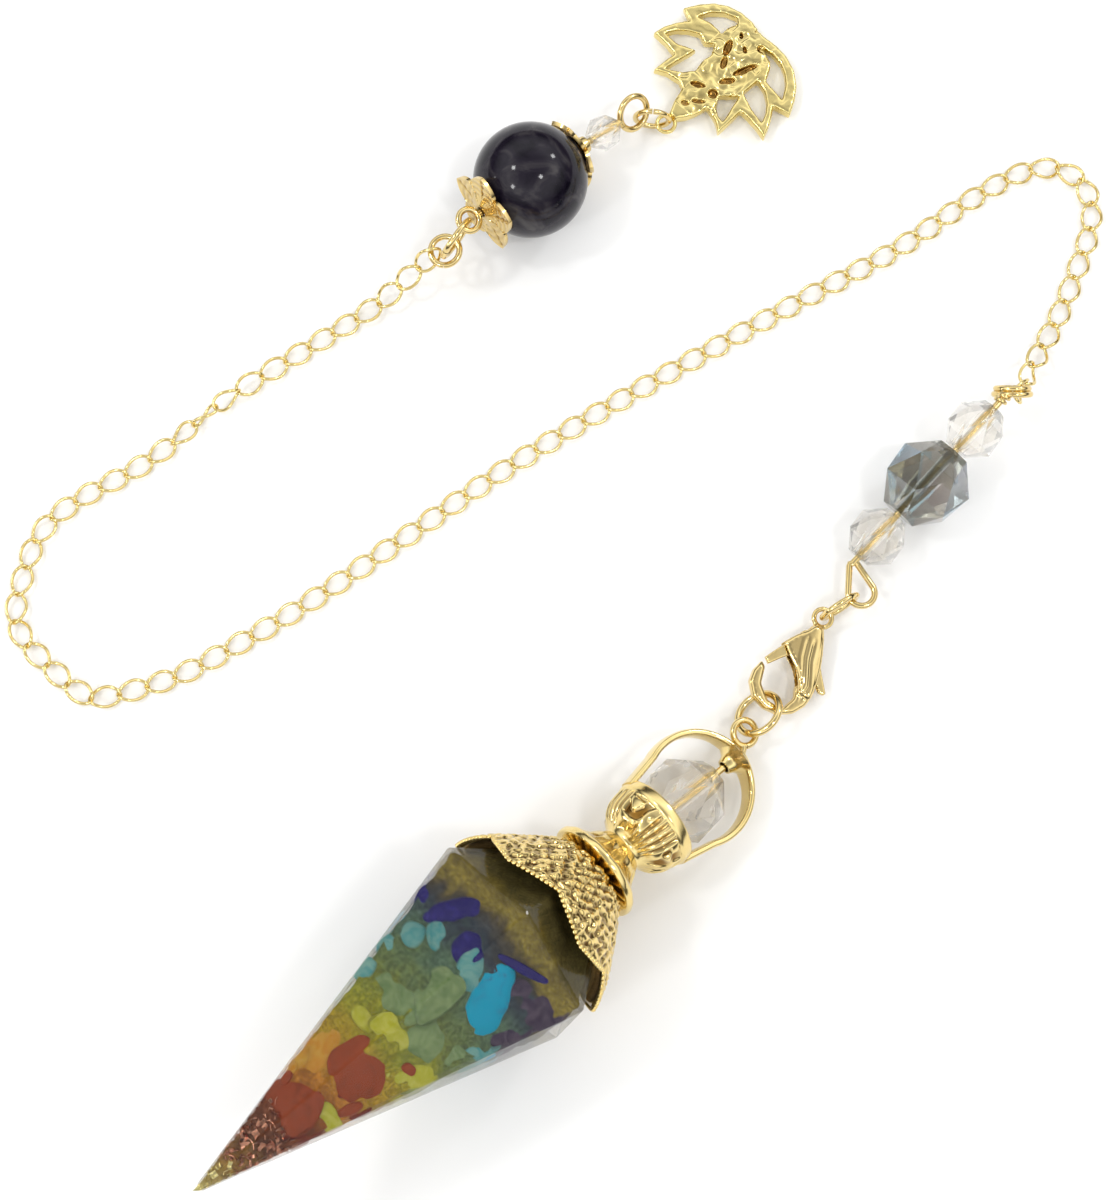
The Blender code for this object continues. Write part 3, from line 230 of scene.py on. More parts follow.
def about_x(along: Array, radius: Array, turn: Array) -> Array:
    """Points at a place along X, a radius and a turn about it, all spread to the radius's grid."""
    y, z = radius * np.cos(turn), radius * np.sin(turn)
    return np.stack([np.broadcast_to(along, y.shape), y, z], -1)


def ball(rows: int, columns: int) -> Array:
    """Unit sphere: the cosine of each row's angle along X and its sine as the radius."""
    rise = (np.pi * (np.arange(rows) + 0.5) / rows)[:, None]
    return about_x(np.cos(rise), np.sin(rise), wheel(columns))


def squared(value: Array, power: float) -> Array:
    """Values raised to a power with their signs kept, which squares a circle's sides off."""
    return np.sign(value) * np.abs(value) ** power


def arc(radius: float, start: float, sweep: float, count: int, centre: tuple = (0.0, 0.0)) -> Array:
    """Points at even angles round a centre in the XY plane."""
    turn = np.radians(start + sweep * np.linspace(0, 1, count))
    return np.stack([centre[0] + radius * np.cos(turn), centre[1] + radius * np.sin(turn), 0 * turn], 1)


def straight_pin(axes: Axes, low: float, high: float) -> Sheet:
    """Straight wire along a frame's X between two places."""
    line = np.linspace((low, 0.0, 0.0), (high, 0.0, 0.0), 30)
    return placed(tube(line, WIRES.pin, (0, 0, 1)), axes)


def ring_wire(axes: Axes, radius: float, wire: float, place: float, gap: float = 0.06) -> Sheet:
    """Round ring of wire in its frame's XY plane, with a hairline joint at a place round it.

    The middle line is an arc of 360 degrees less the joint's own angle, gap over radius.
    """
    open_angle = math.degrees(gap / radius)
    line = arc(radius, place + open_angle / 2, 360 - open_angle, 73)
    return tube(axes.at(line), wire, axes.rows[2])


def smooth_line(corners: Array, count: int) -> Array:
    """Even points on a Catmull-Rom curve through corners, each a row of any width."""
    corners = np.asarray(corners, float)
    ends = np.vstack([2 * corners[0] - corners[1], corners, 2 * corners[-1] - corners[-2]])
    share = np.linspace(0, 1, 24, endpoint=False)[:, None]
    runs = []
    for number in range(len(corners) - 1):
        a, b, c, d = ends[number : number + 4]
        bend = (c - a) * share + (2 * a - 5 * b + 4 * c - d) * share**2
        runs.append(0.5 * (2 * b + bend + (3 * b - a - 3 * c + d) * share**3))
    line = np.vstack([*runs, corners[-1:]])
    steps = np.linalg.norm(np.diff(line[:, : min(3, line.shape[1])], axis=0), axis=1)
    length = np.concatenate([[0.0], np.cumsum(steps)])
    marks = np.linspace(0, length[-1], count)
    return np.stack([np.interp(marks, length, column) for column in line.T], axis=1)


def worms(points: Array, wavelength: float, seed: int, waves: int = 22) -> Array:
    """Winding ridges: plane waves of one length in even random directions, summed and squared off."""
    chance = np.random.default_rng(seed)
    ways = unit(chance.normal(size=(waves, 3)))
    phase = chance.uniform(0, 2 * np.pi, waves)
    total = np.cos(points @ ways.T * (2 * np.pi / wavelength) + phase).sum(-1) * math.sqrt(2 / waves)
    return np.tanh(1.7 * total)


def outward(grid: Array) -> Array:
    """Unit normals of a grid whose columns go round: the cross product of its two tangents."""
    down = np.gradient(grid, axis=0)
    beside = np.roll(grid, -1, 1) - np.roll(grid, 1, 1)
    normal = np.cross(beside, down)
    return normal / np.maximum(np.linalg.norm(normal, axis=2, keepdims=True), 1e-9)


def turned(line: Array, columns: int) -> Array:
    """Grid of a body turned about X from rows of (along, radius)."""
    return about_x(line[:, :1], line[:, 1:], wheel(columns))


def placed(sheet: Sheet, axes: Axes) -> Sheet:
    """The same sheet with its points carried from a frame to the design frame."""
    return Sheet(axes.at(sheet.points), sheet.faces, sheet.hollow)


def lobed(line: Array, lobes: int, notch: float, soft: float, size: tuple) -> tuple[Array, Array, Array]:
    """A line turned about X with its rim drawn back between lobes.

    A point's share of the line is back + (1 - back) times its row, back growing from 0 at a lobe's
    tip to the notch between two lobes.

    Args:
        line: Rows of (along, radius) from the rim.
        lobes: How many there are.
        notch: Share of the line that is cut away between lobes.
        soft: Power that rounds a lobe's tip.
        size: Rows and columns of the grid.

    Returns:
        The points, their outward normals and how far each column is from a lobe's tip, which is 0,
        to the notch, which is 1.
    """
    turn = wheel(size[1])
    away = np.abs(2 * ((turn * lobes / (2 * np.pi)) % 1.0) - 1)
    back = notch * (1 - (1 - away) ** soft)
    share = back + (1 - back) * np.linspace(0, 1, size[0])[:, None]
    marks = np.linspace(0, 1, len(line))
    skin = about_x(*(np.interp(share, marks, column) for column in line.T), turn)
    normal = outward(skin)
    return skin, normal * np.sign(np.sum(normal[..., 1:] * skin[..., 1:], axis=2).mean()), away


@dataclass(frozen=True)
class Wall:
    """How a lobed skin is closed: its thickness, the inside's coarseness and tone of painted shade, its
    neck's share.
    """

    thickness: float
    step: int
    tone: float
    neck: float

    def close(self, skin: Array, normal: Array, lift: Array, hollow: Array) -> Sheet:
        """The skin raised by a lift along its normals, with an inside one thickness behind it."""
        inner = (skin - normal * self.thickness)[:: -self.step]
        lip = skin[-1:] * np.array((1.0, self.neck, self.neck))
        end = lip - np.array((self.thickness, 0, 0))
        grid = np.concatenate([inner, skin + normal * lift[..., None], lip, end])
        # Painted shade: the inside, the lip and the end take the tone as their recess depth, so gold
        # plate darkens there
        patina_and_shade = np.full(grid.shape[:2], self.tone)
        patina_and_shade[len(inner) : len(inner) + len(skin)] = hollow
        return surface(grid, True, patina_and_shade)


def inside(points: Array) -> Array:
    """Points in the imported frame, in millimetres, kept within the CAD model's box."""
    low, high = (np.array(corner) / MM for corner in CAD_BOX)
    return np.clip(points, low + BOX_MARGIN, high - BOX_MARGIN)


def make(
    name: str,
    sheets: list[Sheet],
    finish: "Finish",
    nodes: tuple[str, ...] = (),
    sharp: float = 60.0,
) -> None:
    """Makes one piece from closed sheets in the design frame, on the pendulum's body.

    Args:
        name: The piece's name.
        sheets: Its closed surfaces.
        finish: What its material is made from.
        nodes: CAD nodes that it replaces.
        sharp: Edges that turn by more degrees than this stay sharp.
    """
    points = inside(np.vstack([sheet.points for sheet in sheets]) + SHIFT)
    first = np.cumsum([0] + [len(sheet.points) for sheet in sheets])
    numbered = zip(first[:-1], sheets, strict=True)
    faces = [[start + corner for corner in face] for start, sheet in numbered for face in sheet.faces]
    mesh = bpy.data.meshes.new(name)
    mesh.from_pydata((points * MM).tolist(), [], faces)
    keep(mesh, "hollow", "POINT", np.concatenate([sheet.hollow for sheet in sheets]))
    finished(name, mesh, finish, nodes, sharp=sharp)


def keep(mesh: bpy.types.Mesh, name: str, domain: str, values: Array) -> None:
    """Keeps a value on each point or face of a mesh, for its material."""
    mesh.attributes.new(name, "FLOAT", domain).data.foreach_set("value", values.astype(np.float32))


def linked(name: str, data: bpy.types.ID) -> bpy.types.Object:
    """A new object in the scene."""
    made = bpy.data.objects.new(name, data)
    bpy.context.scene.collection.objects.link(made)
    return made


def finished(
    name: str,
    mesh: bpy.types.Mesh,
    finish: "Finish",
    nodes: tuple[str, ...],
    body: Body = Body.PENDULUM,
    sharp: float = 80.0,
) -> None:
    """Args:
        name: The piece's name.
        mesh: Its shape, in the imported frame.
        finish: What its material is made from.
        nodes: CAD nodes that it replaces.
        body: The CAD body that it rides on.
        sharp: Edges that turn by more degrees than this stay sharp.
    """
    work = bmesh.new()
    work.from_mesh(mesh)
    bmesh.ops.recalc_face_normals(work, faces=work.faces)
    work.to_mesh(mesh)
    work.free()
    mesh.shade_smooth()
    mesh.set_sharp_from_angle(angle=math.radians(sharp))
    mesh.materials.clear()
    mesh.materials.append(finish.material(name))
    piece = linked(name, mesh)
    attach(piece, body.value)
    if nodes:
        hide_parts(*nodes)
    LOG.info("%s: %d faces", name, len(mesh.polygons))


def set_stops(band: bpy.types.ColorRamp, stops: tuple) -> None:
    """Gives a ramp its colours at shares of its length."""
    while len(band.elements) < len(stops):
        band.elements.new(0.5)
    for element, (share, colour) in zip(band.elements, stops, strict=True):
        element.position = share
        element.color = (*colour, 1.0)


class Recipe:
    """A material whose node tree is being laid out."""

    def __init__(self, name: str) -> None:
        """Starts a Principled material with Object coordinates at hand."""
        self.material = bpy.data.materials.new(name)
        self.material.use_nodes = True
        self.tree = self.material.node_tree
        self.shader = self.tree.nodes["Principled BSDF"]
        self.place = self.node("ShaderNodeTexCoord").outputs["Object"]

    def node(self, kind: str, inputs: dict | None = None, **fields: object) -> bpy.types.Node:
        """A node with its fields set and its inputs set or linked."""
        made = self.tree.nodes.new(kind)
        for key, value in fields.items():
            setattr(made, key, value)
        for key, value in (inputs or {}).items():
            if isinstance(value, bpy.types.NodeSocket):
                self.tree.links.new(value, made.inputs[key])
            else:
                made.inputs[key].default_value = value
        return made

    def noise(self, scale: float, detail: float = 2.0, warp: float = 0.0) -> bpy.types.NodeSocket:
        """Noise with about that many features to the millimetre."""
        inputs = {"Vector": self.place, "Scale": scale / MM, "Detail": detail, "Distortion": warp}
        return self.node("ShaderNodeTexNoise", inputs).outputs["Fac"]

    def attribute(self, name: str) -> bpy.types.NodeSocket:
        """A value kept at each point of the mesh."""
        return self.node("ShaderNodeAttribute", attribute_name=name).outputs["Fac"]

    def ramp(self, factor: bpy.types.NodeSocket, stops: tuple) -> bpy.types.NodeSocket:
        """Colours at shares of a factor, blended in between."""
        made = self.node("ShaderNodeValToRGB", {"Fac": factor})
        set_stops(made.color_ramp, stops)
        return made.outputs["Color"]

    def mix(
        self, factor: bpy.types.NodeSocket, one: object, other: object, blend: str = "MIX"
    ) -> bpy.types.NodeSocket:
        """Two colours mixed by a factor."""
        made = self.node("ShaderNodeMix", data_type="RGBA", blend_type=blend)
        for index, value in ((0, factor), (6, one), (7, other)):
            if isinstance(value, bpy.types.NodeSocket):
                self.tree.links.new(value, made.inputs[index])
            else:
                made.inputs[index].default_value = value if index == 0 else (*value, 1.0)
        return made.outputs[2]

    def between(self, value: bpy.types.NodeSocket, low: float, high: float) -> bpy.types.NodeSocket:
        """A 0 to 1 value carried to another range."""
        inputs = {"Value": value, "To Min": low, "To Max": high}
        return self.node("ShaderNodeMapRange", inputs).outputs["Result"]

    def bump(self, height: bpy.types.NodeSocket, distance: float, strength: float = 1.0) -> None:
        """Raises the surface by a height, distance in millimetres."""
        inputs = {"Height": height, "Distance": distance * MM, "Strength": strength}
        made = self.node("ShaderNodeBump", inputs)
        self.tree.links.new(made.outputs["Normal"], self.shader.inputs["Normal"])

    def set(self, **values: object) -> bpy.types.Material:
        """Sets or links the shader's inputs, named with _ for spaces, and returns the material."""
        for key, value in values.items():
            socket = self.shader.inputs[key.replace("_", " ")]
            if isinstance(value, bpy.types.NodeSocket):
                self.tree.links.new(value, socket)
            else:
                socket.default_value = (*value, 1.0) if isinstance(value, tuple) else value
        return self.material


@dataclass(frozen=True)
class GoldPlate:
    """Champagne gold plate over cast or drawn metal, darker and redder in its recesses, as patina and
    painted shade.
    """

    colour: tuple = (0.76, 0.61, 0.29)
    # Colour of the recesses: patina and painted shade
    patina_and_shade: tuple = (0.22, 0.11, 0.02)
    roughness: float = 0.13
    wear: float = 0.12
    grain: float = 0.0015

    def material(self, name: str) -> bpy.types.Material:
        """Patches of paler and redder plate, patina and painted shade where the hollow attribute is
        high, handling marks in the gloss, and a fine cast grain.
        """
        recipe = Recipe(name)
        patches = recipe.noise(0.55, 3.0, 0.4)
        pale = tuple(np.minimum(1.0, np.array(self.colour) * 1.05 + 0.02))
        warm = tuple(np.array(self.colour) * (0.96, 0.88, 0.74))
        plate = recipe.mix(patches, warm, pale)
        # Patina and painted shade: the recess colour mixed in by the hollow attribute
        depth = recipe.node("ShaderNodeMath", {0: recipe.attribute("hollow"), 1: 1.4}, operation="POWER")
        colour = recipe.mix(depth.outputs[0], plate, self.patina_and_shade)
        low, high = self.roughness - 0.4 * self.wear, self.roughness + self.wear
        gloss = recipe.between(recipe.noise(2.2, 4.0, 0.6), low, high)
        recipe.bump(recipe.noise(6.0, 3.0), self.grain)
        return recipe.set(Base_Color=colour, Metallic=1.0, Roughness=gloss)


@dataclass(frozen=True)
class CutGlass:
    """Cut glass or quartz with faint clouds, whose facets pass and bend light."""

    # Painted light and shade by facet, from darker cream to near white
    tones: tuple = ((0.0, (0.90, 0.83, 0.70)), (0.5, (1.0, 0.98, 0.94)), (1.0, (0.96, 0.91, 0.85)))
    cloud: tuple = (0.92, 0.86, 0.76)
    roughness: float = 0.02
    alpha: float = 0.66
    index: float = 1.5

    def material(self, name: str) -> bpy.types.Material:
        """Each facet has a tone of its own, painted light and shade standing in for its reflections,
        with clouds drifting through it.
        """
        recipe = Recipe(name)
        # Painted light and shade: a tone per facet from the facet attribute
        facets = recipe.ramp(recipe.attribute("facet"), self.tones)
        patches = recipe.between(recipe.noise(0.5, 4.0, 1.2), -0.5, 0.5)
        clouds = recipe.mix(patches, facets, self.cloud)
        recipe.bump(recipe.noise(0.9, 2.0), 0.02, 0.35)
        return recipe.set(
            Base_Color=clouds,
            Transmission_Weight=1.0,
            Roughness=self.roughness,
            IOR=self.index,
            Alpha=self.alpha,
        )


@dataclass(frozen=True)
class SmokyResin:
    """Cast clear resin with a smoky cast and a polished skin."""

    tint: tuple = (0.66, 0.62, 0.54)
    haze: tuple = (0.50, 0.46, 0.38)

    def material(self, name: str) -> bpy.types.Material:
        """Thin haze through the tint and a skin that is flat but for faint polishing waves."""
        recipe = Recipe(name)
        colour = recipe.ramp(recipe.noise(0.22, 4.0, 1.0), ((0.4, self.tint), (0.75, self.haze)))
        recipe.bump(recipe.noise(0.5, 2.0), 0.015, 0.25)
        return recipe.set(
            Base_Color=colour,
            Transmission_Weight=1.0,
            Roughness=0.02,
            IOR=1.45,
            Specular_IOR_Level=0.25,
            Alpha=0.5,
        )


@dataclass(frozen=True)
class Chip:
    """Tumbled stone chip in the resin: base colour, vein colour and how much light goes through."""

    base: tuple
    vein: tuple
    veins: float = 0.5
    glow: float = 0.0
    metal: float = 0.0
    roughness: float = 0.45

    def material(self, name: str) -> bpy.types.Material:
        """Veins and blotches at the millimetre over the base, with a little relief."""
        recipe = Recipe(name)
        blotch = recipe.noise(0.8, 5.0, 1.5)
        colour = recipe.ramp(blotch, ((0.62 - self.veins * 0.35, self.base), (0.78, self.vein)))
        recipe.bump(recipe.noise(2.0, 3.0), 0.03, 0.5)
        if self.glow:
            recipe.shader.inputs["Subsurface Radius"].default_value = (1.0, 0.7, 0.4)
            recipe.set(Subsurface_Weight=self.glow, Subsurface_Scale=0.0012)
        recipe.set(Metallic=self.metal, Roughness=self.roughness, Specular_IOR_Level=0.12)
        return recipe.set(Base_Color=colour)


@dataclass(frozen=True)
class PackedCore:
    """What fills the point behind its chips, banded from gold leaf at the tip to smoky quartz, with a
    painted reflection of the gold cap in olive-gold bands at the shoulder.
    """

    bands_and_cap_reflection: tuple = (
        (0.02, (0.62, 0.56, 0.24)),
        (0.11, (0.30, 0.17, 0.05)),
        (0.17, (0.14, 0.055, 0.03)),
        (0.27, (0.22, 0.055, 0.02)),
        (0.35, (0.48, 0.20, 0.03)),
        (0.44, (0.40, 0.29, 0.03)),
        (0.52, (0.30, 0.31, 0.035)),
        (0.60, (0.14, 0.19, 0.075)),
        (0.69, (0.10, 0.17, 0.12)),
        (0.76, (0.04, 0.055, 0.085)),
        (0.80, (0.075, 0.062, 0.045)),
        # From here to the shoulder: painted reflection of the gold cap in olive-gold, over smoky quartz
        (0.835, (0.27, 0.21, 0.045)),
        (0.862, (0.20, 0.155, 0.04)),
        (0.888, (0.12, 0.10, 0.04)),
        (0.97, (0.16, 0.13, 0.05)),
    )

    def material(self, name: str) -> bpy.types.Material:
        """The band at each point's share of the length, its edges stirred by noise."""
        recipe = Recipe(name)
        stir = recipe.between(recipe.noise(0.35, 5.0, 1.0), -0.07, 0.07)
        share = recipe.node("ShaderNodeMath", {0: recipe.attribute("hollow"), 1: stir}, operation="ADD")
        bands_and_cap_reflection = recipe.ramp(share.outputs[0], self.bands_and_cap_reflection)
        tones = ((0.4, (0.62, 0.62, 0.58)), (0.7, (1.25, 1.25, 1.1)))
        flecks = recipe.ramp(recipe.noise(1.6, 5.0, 2.0), tones)
        colour = recipe.mix(1.0, bands_and_cap_reflection, flecks, "MULTIPLY")
        recipe.bump(recipe.noise(1.3, 4.0), 0.12, 0.6)
        return recipe.set(Base_Color=colour, Roughness=0.5, Specular_IOR_Level=0.1)


@dataclass(frozen=True)
class DarkStone:
    """Polished charcoal stone with purple and grey clouds."""

    tones: tuple = (
        (0.36, (0.003, 0.002, 0.006)),
        (0.52, (0.014, 0.011, 0.019)),
        (0.72, (0.06, 0.055, 0.058)),
    )

    def material(self, name: str) -> bpy.types.Material:
        """Three clouded tones under a clear gloss."""
        recipe = Recipe(name)
        colour = recipe.ramp(recipe.noise(0.3, 6.0, 1.5), self.tones)
        return recipe.set(Base_Color=colour, Roughness=0.08, IOR=1.45, Specular_IOR_Level=0.26)


Finish = GoldPlate | CutGlass | SmokyResin | Chip | PackedCore | DarkStone


@dataclass
class Wires:
    """Wire radii and the spaces between linked wires."""

    pin: float = 0.3
    loop: float = 0.28
    bore: float = 0.5
    gap: float = 0.12
    seat: float = 0.3


WIRES = Wires()
# Radius of a cut bead's flat end as a share of the bead's own
TABLE = 0.42


@dataclass
class Pendant:
    """Resin point with its inclusions, filigree cap, cup with hoop, crystal and eye pin."""

    spot: tuple = (-3.9, -29.85)
    azimuth: float = 39.8
    ridge: float = 9.4
    length: float = 31.1
    crystal: float = 7.5
    cup_end: float = 16.9
    cap_lobes: int = 6
    cap_notch: float = 0.196
    cap_wall: float = 0.5
    cap_relief: float = 0.12
    grain: float = 0.21
    grain_depth: float = 0.2
    cup_relief: float = 0.13
    cup_depth: float = 1.0
    hoop_radius: float = 5.0
    band: float = 0.65
    foot_side: float = 3.74
    eye_radius: float = 1.08
    eye_side: float = 1.2
    eye_roll: float = 20.0
    eye_joint: float = 14.0
    pin_start: float = 9.8
    pin_rise: float = 18.0
    pin_kink: float = 0.3
    hoop_roll: float = 12.0
    cap_line: tuple = ((2.3, 8.6), (4.18, 7.65), (5.78, 6.45), (7.46, 5.16), (9.0, 3.87))
    neck_line: tuple = (
        (9.3, 3.87, 0.0),
        (9.45, 4.26, 0.0),
        (10.0, 4.22, 0.3),
        (10.5, 3.45, 1.0),
        (11.2, 2.72, 1.0),
        (11.9, 2.36, 0.5),
        (12.6, 1.98, 0.0),
        (13.1, 2.3, 0.2),
        (13.7, 2.98, 1.0),
        (14.4, 3.42, 1.0),
        (15.2, 3.62, 1.0),
        (15.75, 3.74, 0.6),
        (15.85, 3.8, 0.0),
        (16.1, 3.95, 0.0),
        (16.75, 3.92, 0.0),
        (16.9, 3.82, 0.0),
    )
    neck_waist: float = 12.6

    def seat_height(self) -> float:
        """Middle of the hoop's crystal along the axis."""
        return self.cup_end - self.cup_depth + WIRES.seat + self.crystal / 2 * math.sqrt(1 - TABLE**2)

    def hoop_middle(self) -> float:
        """Middle of the hoop along the axis."""
        return self.cup_end + self.hoop_radius * 0.86

    def axes(self) -> Axes:
        """Frame with X from the ridge to the hoop, as the point lies on its ridge and its crystal."""
        reach, bead = self.seat_height(), self.crystal / 2
        tilt = math.acos(bead / math.hypot(self.ridge, reach)) - math.atan2(reach, self.ridge)
        along = heading(self.azimuth, -math.degrees(tilt))
        return axes_along((*self.spot, self.ridge * math.cos(tilt)), along)

    def filigree_cap(self) -> None:
        """Flared shell with six lobes: winding ridges lift its skin along its normal, its rim beaded."""
        line = smooth_line(self.cap_line, 240)
        outer, normal, _ = lobed(line, self.cap_lobes, self.cap_notch, 0.8, (84, 540))
        pattern = worms(outer, 0.74, 5) * 0.75 + worms(outer, 0.42, 6) * 0.25
        ridges = pattern * held(np.linspace(0, 1, len(outer)) * 26)[:, None]
        # Painted shade: the inside takes a recess depth of 0.75 and the hollows between ridges up to 1
        wall = Wall(self.cap_wall, 3, 0.75, 0.14)
        shell = wall.close(outer, normal, self.cap_relief * (ridges - 1), 0.5 - 0.5 * ridges)
        beads = self.rim_beads(outer[0] - normal[0] * self.grain_depth)
        axes = self.axes().rolled(180 / self.cap_lobes)
        # Near-black recess colour: patina and painted shade
        finish = GoldPlate(colour=(0.88, 0.70, 0.30), patina_and_shade=(0.10, 0.045, 0.008), roughness=0.15)
        sheets = [placed(sheet, axes) for sheet in (shell, beads)]
        make("filigree_cap_gilt", sheets, finish, ("filigree_cap",), sharp=80)

    def rim_beads(self, rim: Array) -> Sheet:
        """Grains of solder round the rim: a small sphere at every even step of its line."""
        steps = np.linalg.norm(np.roll(rim, -1, 0) - rim, axis=1)
        length = np.concatenate([[0.0], np.cumsum(steps)])
        closed = np.vstack([rim, rim[:1]])
        count = int(length[-1] / (2 * self.grain))
        marks = length[-1] * np.arange(count) / count
        spots = np.stack([np.interp(marks, length, column) for column in closed.T], axis=1)
        return many_lumps(spots, self.grain)

    def cup_and_hoop(self) -> None:
        """Collar with a crown of leaves, neck and urn cup turned in one, with hoop and boss cast on.

        The line of (along, radius) is turned about X. Where its third column is 1 the radius takes
        leaves below the neck, and above it panels that are reeded and scrolled by turns.
        """
        rows = smooth_line(self.neck_line, 170)
        turn = wheel(384)
        along, radius, relief = rows[:, 0:1], rows[:, 1:2], held(rows[:, 2:3])
        leaves = np.abs(np.cos(5 * turn + 0.8 * (along - 10.4))) ** 0.7 - 0.45 + 0.25 * np.cos(20 * turn)
        panel = (turn * 8 / (2 * np.pi)) % 2.0
        inlay = held((0.5 - np.abs(panel % 1.0 - 0.5)) * 9)
        reeds = squared(np.cos(turn * 32), 0.6)
        scroll = worms(about_x(along, np.full_like(along, 3.6), turn), 1.15, 11)
        cup = np.where(panel < 1.0, reeds * 0.8, scroll) * inlay + 0.9 * (1 - inlay)
        carving = np.where(along < self.neck_waist, leaves * 1.5, cup) * relief
        outer = about_x(along, radius + self.cup_relief * carving, turn)
        seat, start = self.cup_end - self.cup_depth, self.neck_line[0][0]
        bore = np.array(((self.cup_end, 3.45), (seat, 2.95), (seat, WIRES.bore), (start, WIRES.bore)))
        grid = np.concatenate([outer, turned(bore, len(turn))])
        # Patina and painted shade: the bore at a recess depth of 0.3, the carving's hollows deeper
        patina_and_shade = np.full(grid.shape[:2], 0.3)
        patina_and_shade[: len(rows)] = held(0.45 - 0.55 * carving) * relief
        axes = self.axes()
        parts = [placed(surface(grid, True, patina_and_shade), axes), placed(self.boss(), axes)]
        parts.append(placed(self.hoop(), axes.rolled(self.hoop_roll)))
        finish = GoldPlate(colour=(0.82, 0.67, 0.31))
        make("cup_and_hoop_gilt", parts, finish, ("cup_hoop",), sharp=50)

    def hoop(self) -> Sheet:
        """Band bent over the crystal: an oblong with soft corners carried round an arc and two legs.

        Across, it is the cosine and the sine of the turn, squared off; it widens towards its crown.
        """
        middle, thick = self.hoop_middle(), self.band / 2
        line = self.hoop_radius - thick
        bow = arc(line, -112, 224, 91, (middle, 0.0))
        foot = np.array((self.cup_end - 0.5, self.foot_side, 0.0))
        legs = np.linspace(0, 1, 8, endpoint=False)[:, None]
        first = foot * (1, -1, 1) + (bow[0] - foot * (1, -1, 1)) * legs
        last = (foot + (bow[-1] - foot) * legs)[::-1]
        path = np.vstack([first, bow, last])
        side = np.cross((0.0, 0.0, 1.0), unit(np.gradient(path, axis=0)))
        crown = held(1 - np.abs(np.arctan2(path[:, 1], path[:, 0] - middle)) / 0.7)
        width = 1.0 + 0.45 * crown**1.4
        turn = wheel(24)
        across = squared(np.cos(turn), 0.55) * thick
        lift = squared(np.sin(turn), 0.75)
        grid = path[:, None] + across[:, None] * side[:, None]
        grid = grid + (width[:, None] * lift)[..., None] * np.array((0.0, 0.0, 1.0))
        return surface(grid)

    def boss(self) -> Sheet:
        """Turned boss under the hoop's crown that narrows towards the crystal, bored for the pin."""
        end = self.hoop_middle() + self.hoop_radius
        top, inner = end + 0.05, end - self.band
        corners = ((0.1, 1.85), (-0.2, 1.45), (-0.6, 0.92), (-1.15, 0.66))
        skirt = smooth_line(np.array(corners) + (inner, 0.0), 16)
        crown = np.array(((top, WIRES.bore), (top, 0.75), (top - 0.25, 1.0), (inner + 0.3, 1.6)))
        line = np.vstack([crown, skirt, (inner - 1.15, WIRES.bore)])
        return surface(turned(line, 40), True)

    def eye_pin(self) -> None:
        """Pin up the axis with a kink at its end, and a round eye beside it in the same plane."""
        middle = self.hoop_middle()
        top = middle + self.hoop_radius + 0.05
        spread = self.hoop_radius + self.eye_radius + WIRES.loop + 2 * WIRES.gap
        centre = (middle + math.sqrt(spread**2 - self.eye_side**2), self.eye_side)
        foot = np.array((top + self.pin_kink, 0.0, 0.0))
        toward = unit(foot - np.array((*centre, 0.0)))
        rim = np.array((*centre, 0.0)) + toward * self.eye_radius
        straight = [(along, 0, 0) for along in (self.pin_start, self.pin_rise, top - 2 * self.pin_kink)]
        rise = smooth_line([*straight, foot, rim], 60)
        axes = self.axes().rolled(self.eye_roll)
        pin = placed(tube(rise, WIRES.pin, (0, 0, 1)), axes)
        place = math.degrees(math.atan2(toward[1], toward[0])) + self.eye_joint
        eye = ring_wire(axes.moved(*centre), self.eye_radius, WIRES.loop, place)
        make("eye_pin_gilt", [pin, eye], GoldPlate(), ("hoop_pin",))

    def build(self) -> None:
        """Makes and dresses every piece of the pendant."""
        dress("resin_point", SmokyResin().material("smoky_resin_cast"))
        cut_stone("hoop_crystal", CutGlass())
        Inclusions(self.axes(), self.ridge, self.length).build()
        self.filigree_cap()
        self.cup_and_hoop()
        self.eye_pin()


def many_lumps(spots: Array, size: float) -> Sheet:
    """Small spheres at many spots as one sheet, each from the same grid of turns and heights."""
    one = surface(ball(6, 8))
    points = (spots[:, None] + size * one.points).reshape(-1, 3)
    starts = len(one.points) * np.arange(len(spots))
    faces = [[corner + start for corner in face] for start in starts for face in one.faces]
    return Sheet(points, faces, np.zeros(len(points)))


def welded(node: str) -> bpy.types.Mesh:
    """A copy of a CAD node's mesh with its doubled corners joined."""
    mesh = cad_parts[node].data.copy()
    work = bmesh.new()
    work.from_mesh(mesh)
    bmesh.ops.remove_doubles(work, verts=work.verts, dist=0.0005 * MM)
    work.to_mesh(mesh)
    work.free()
    return mesh


def cut_stone(node: str, finish: Finish) -> None:
    """Cut bead with its CAD facets, each with a tone of painted light and shade of its own kept on its
    faces.

    Triangles whose normals agree to a twentieth are one facet; its tone is drawn by a seeded hand.
    """
    mesh = welded(node)
    normals = np.zeros(len(mesh.polygons) * 3)
    mesh.polygons.foreach_get("normal", normals)
    _, facet = np.unique((normals.reshape(-1, 3) * 20).round(), axis=0, return_inverse=True)
    tone = np.random.default_rng(len(node)).uniform(0, 1, facet.max() + 1)
    keep(mesh, "facet", "FACE", tone[facet.reshape(-1)])
    finished(node + "_cut", mesh, finish, (node,), sharp=8.0)


def dress(node: str, finish: bpy.types.Material) -> None:
    """Gives a CAD node that keeps its own shape a finished material."""
    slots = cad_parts[node].data.materials
    slots.clear()
    slots.append(finish)
    LOG.info("%s keeps its CAD shape", node)


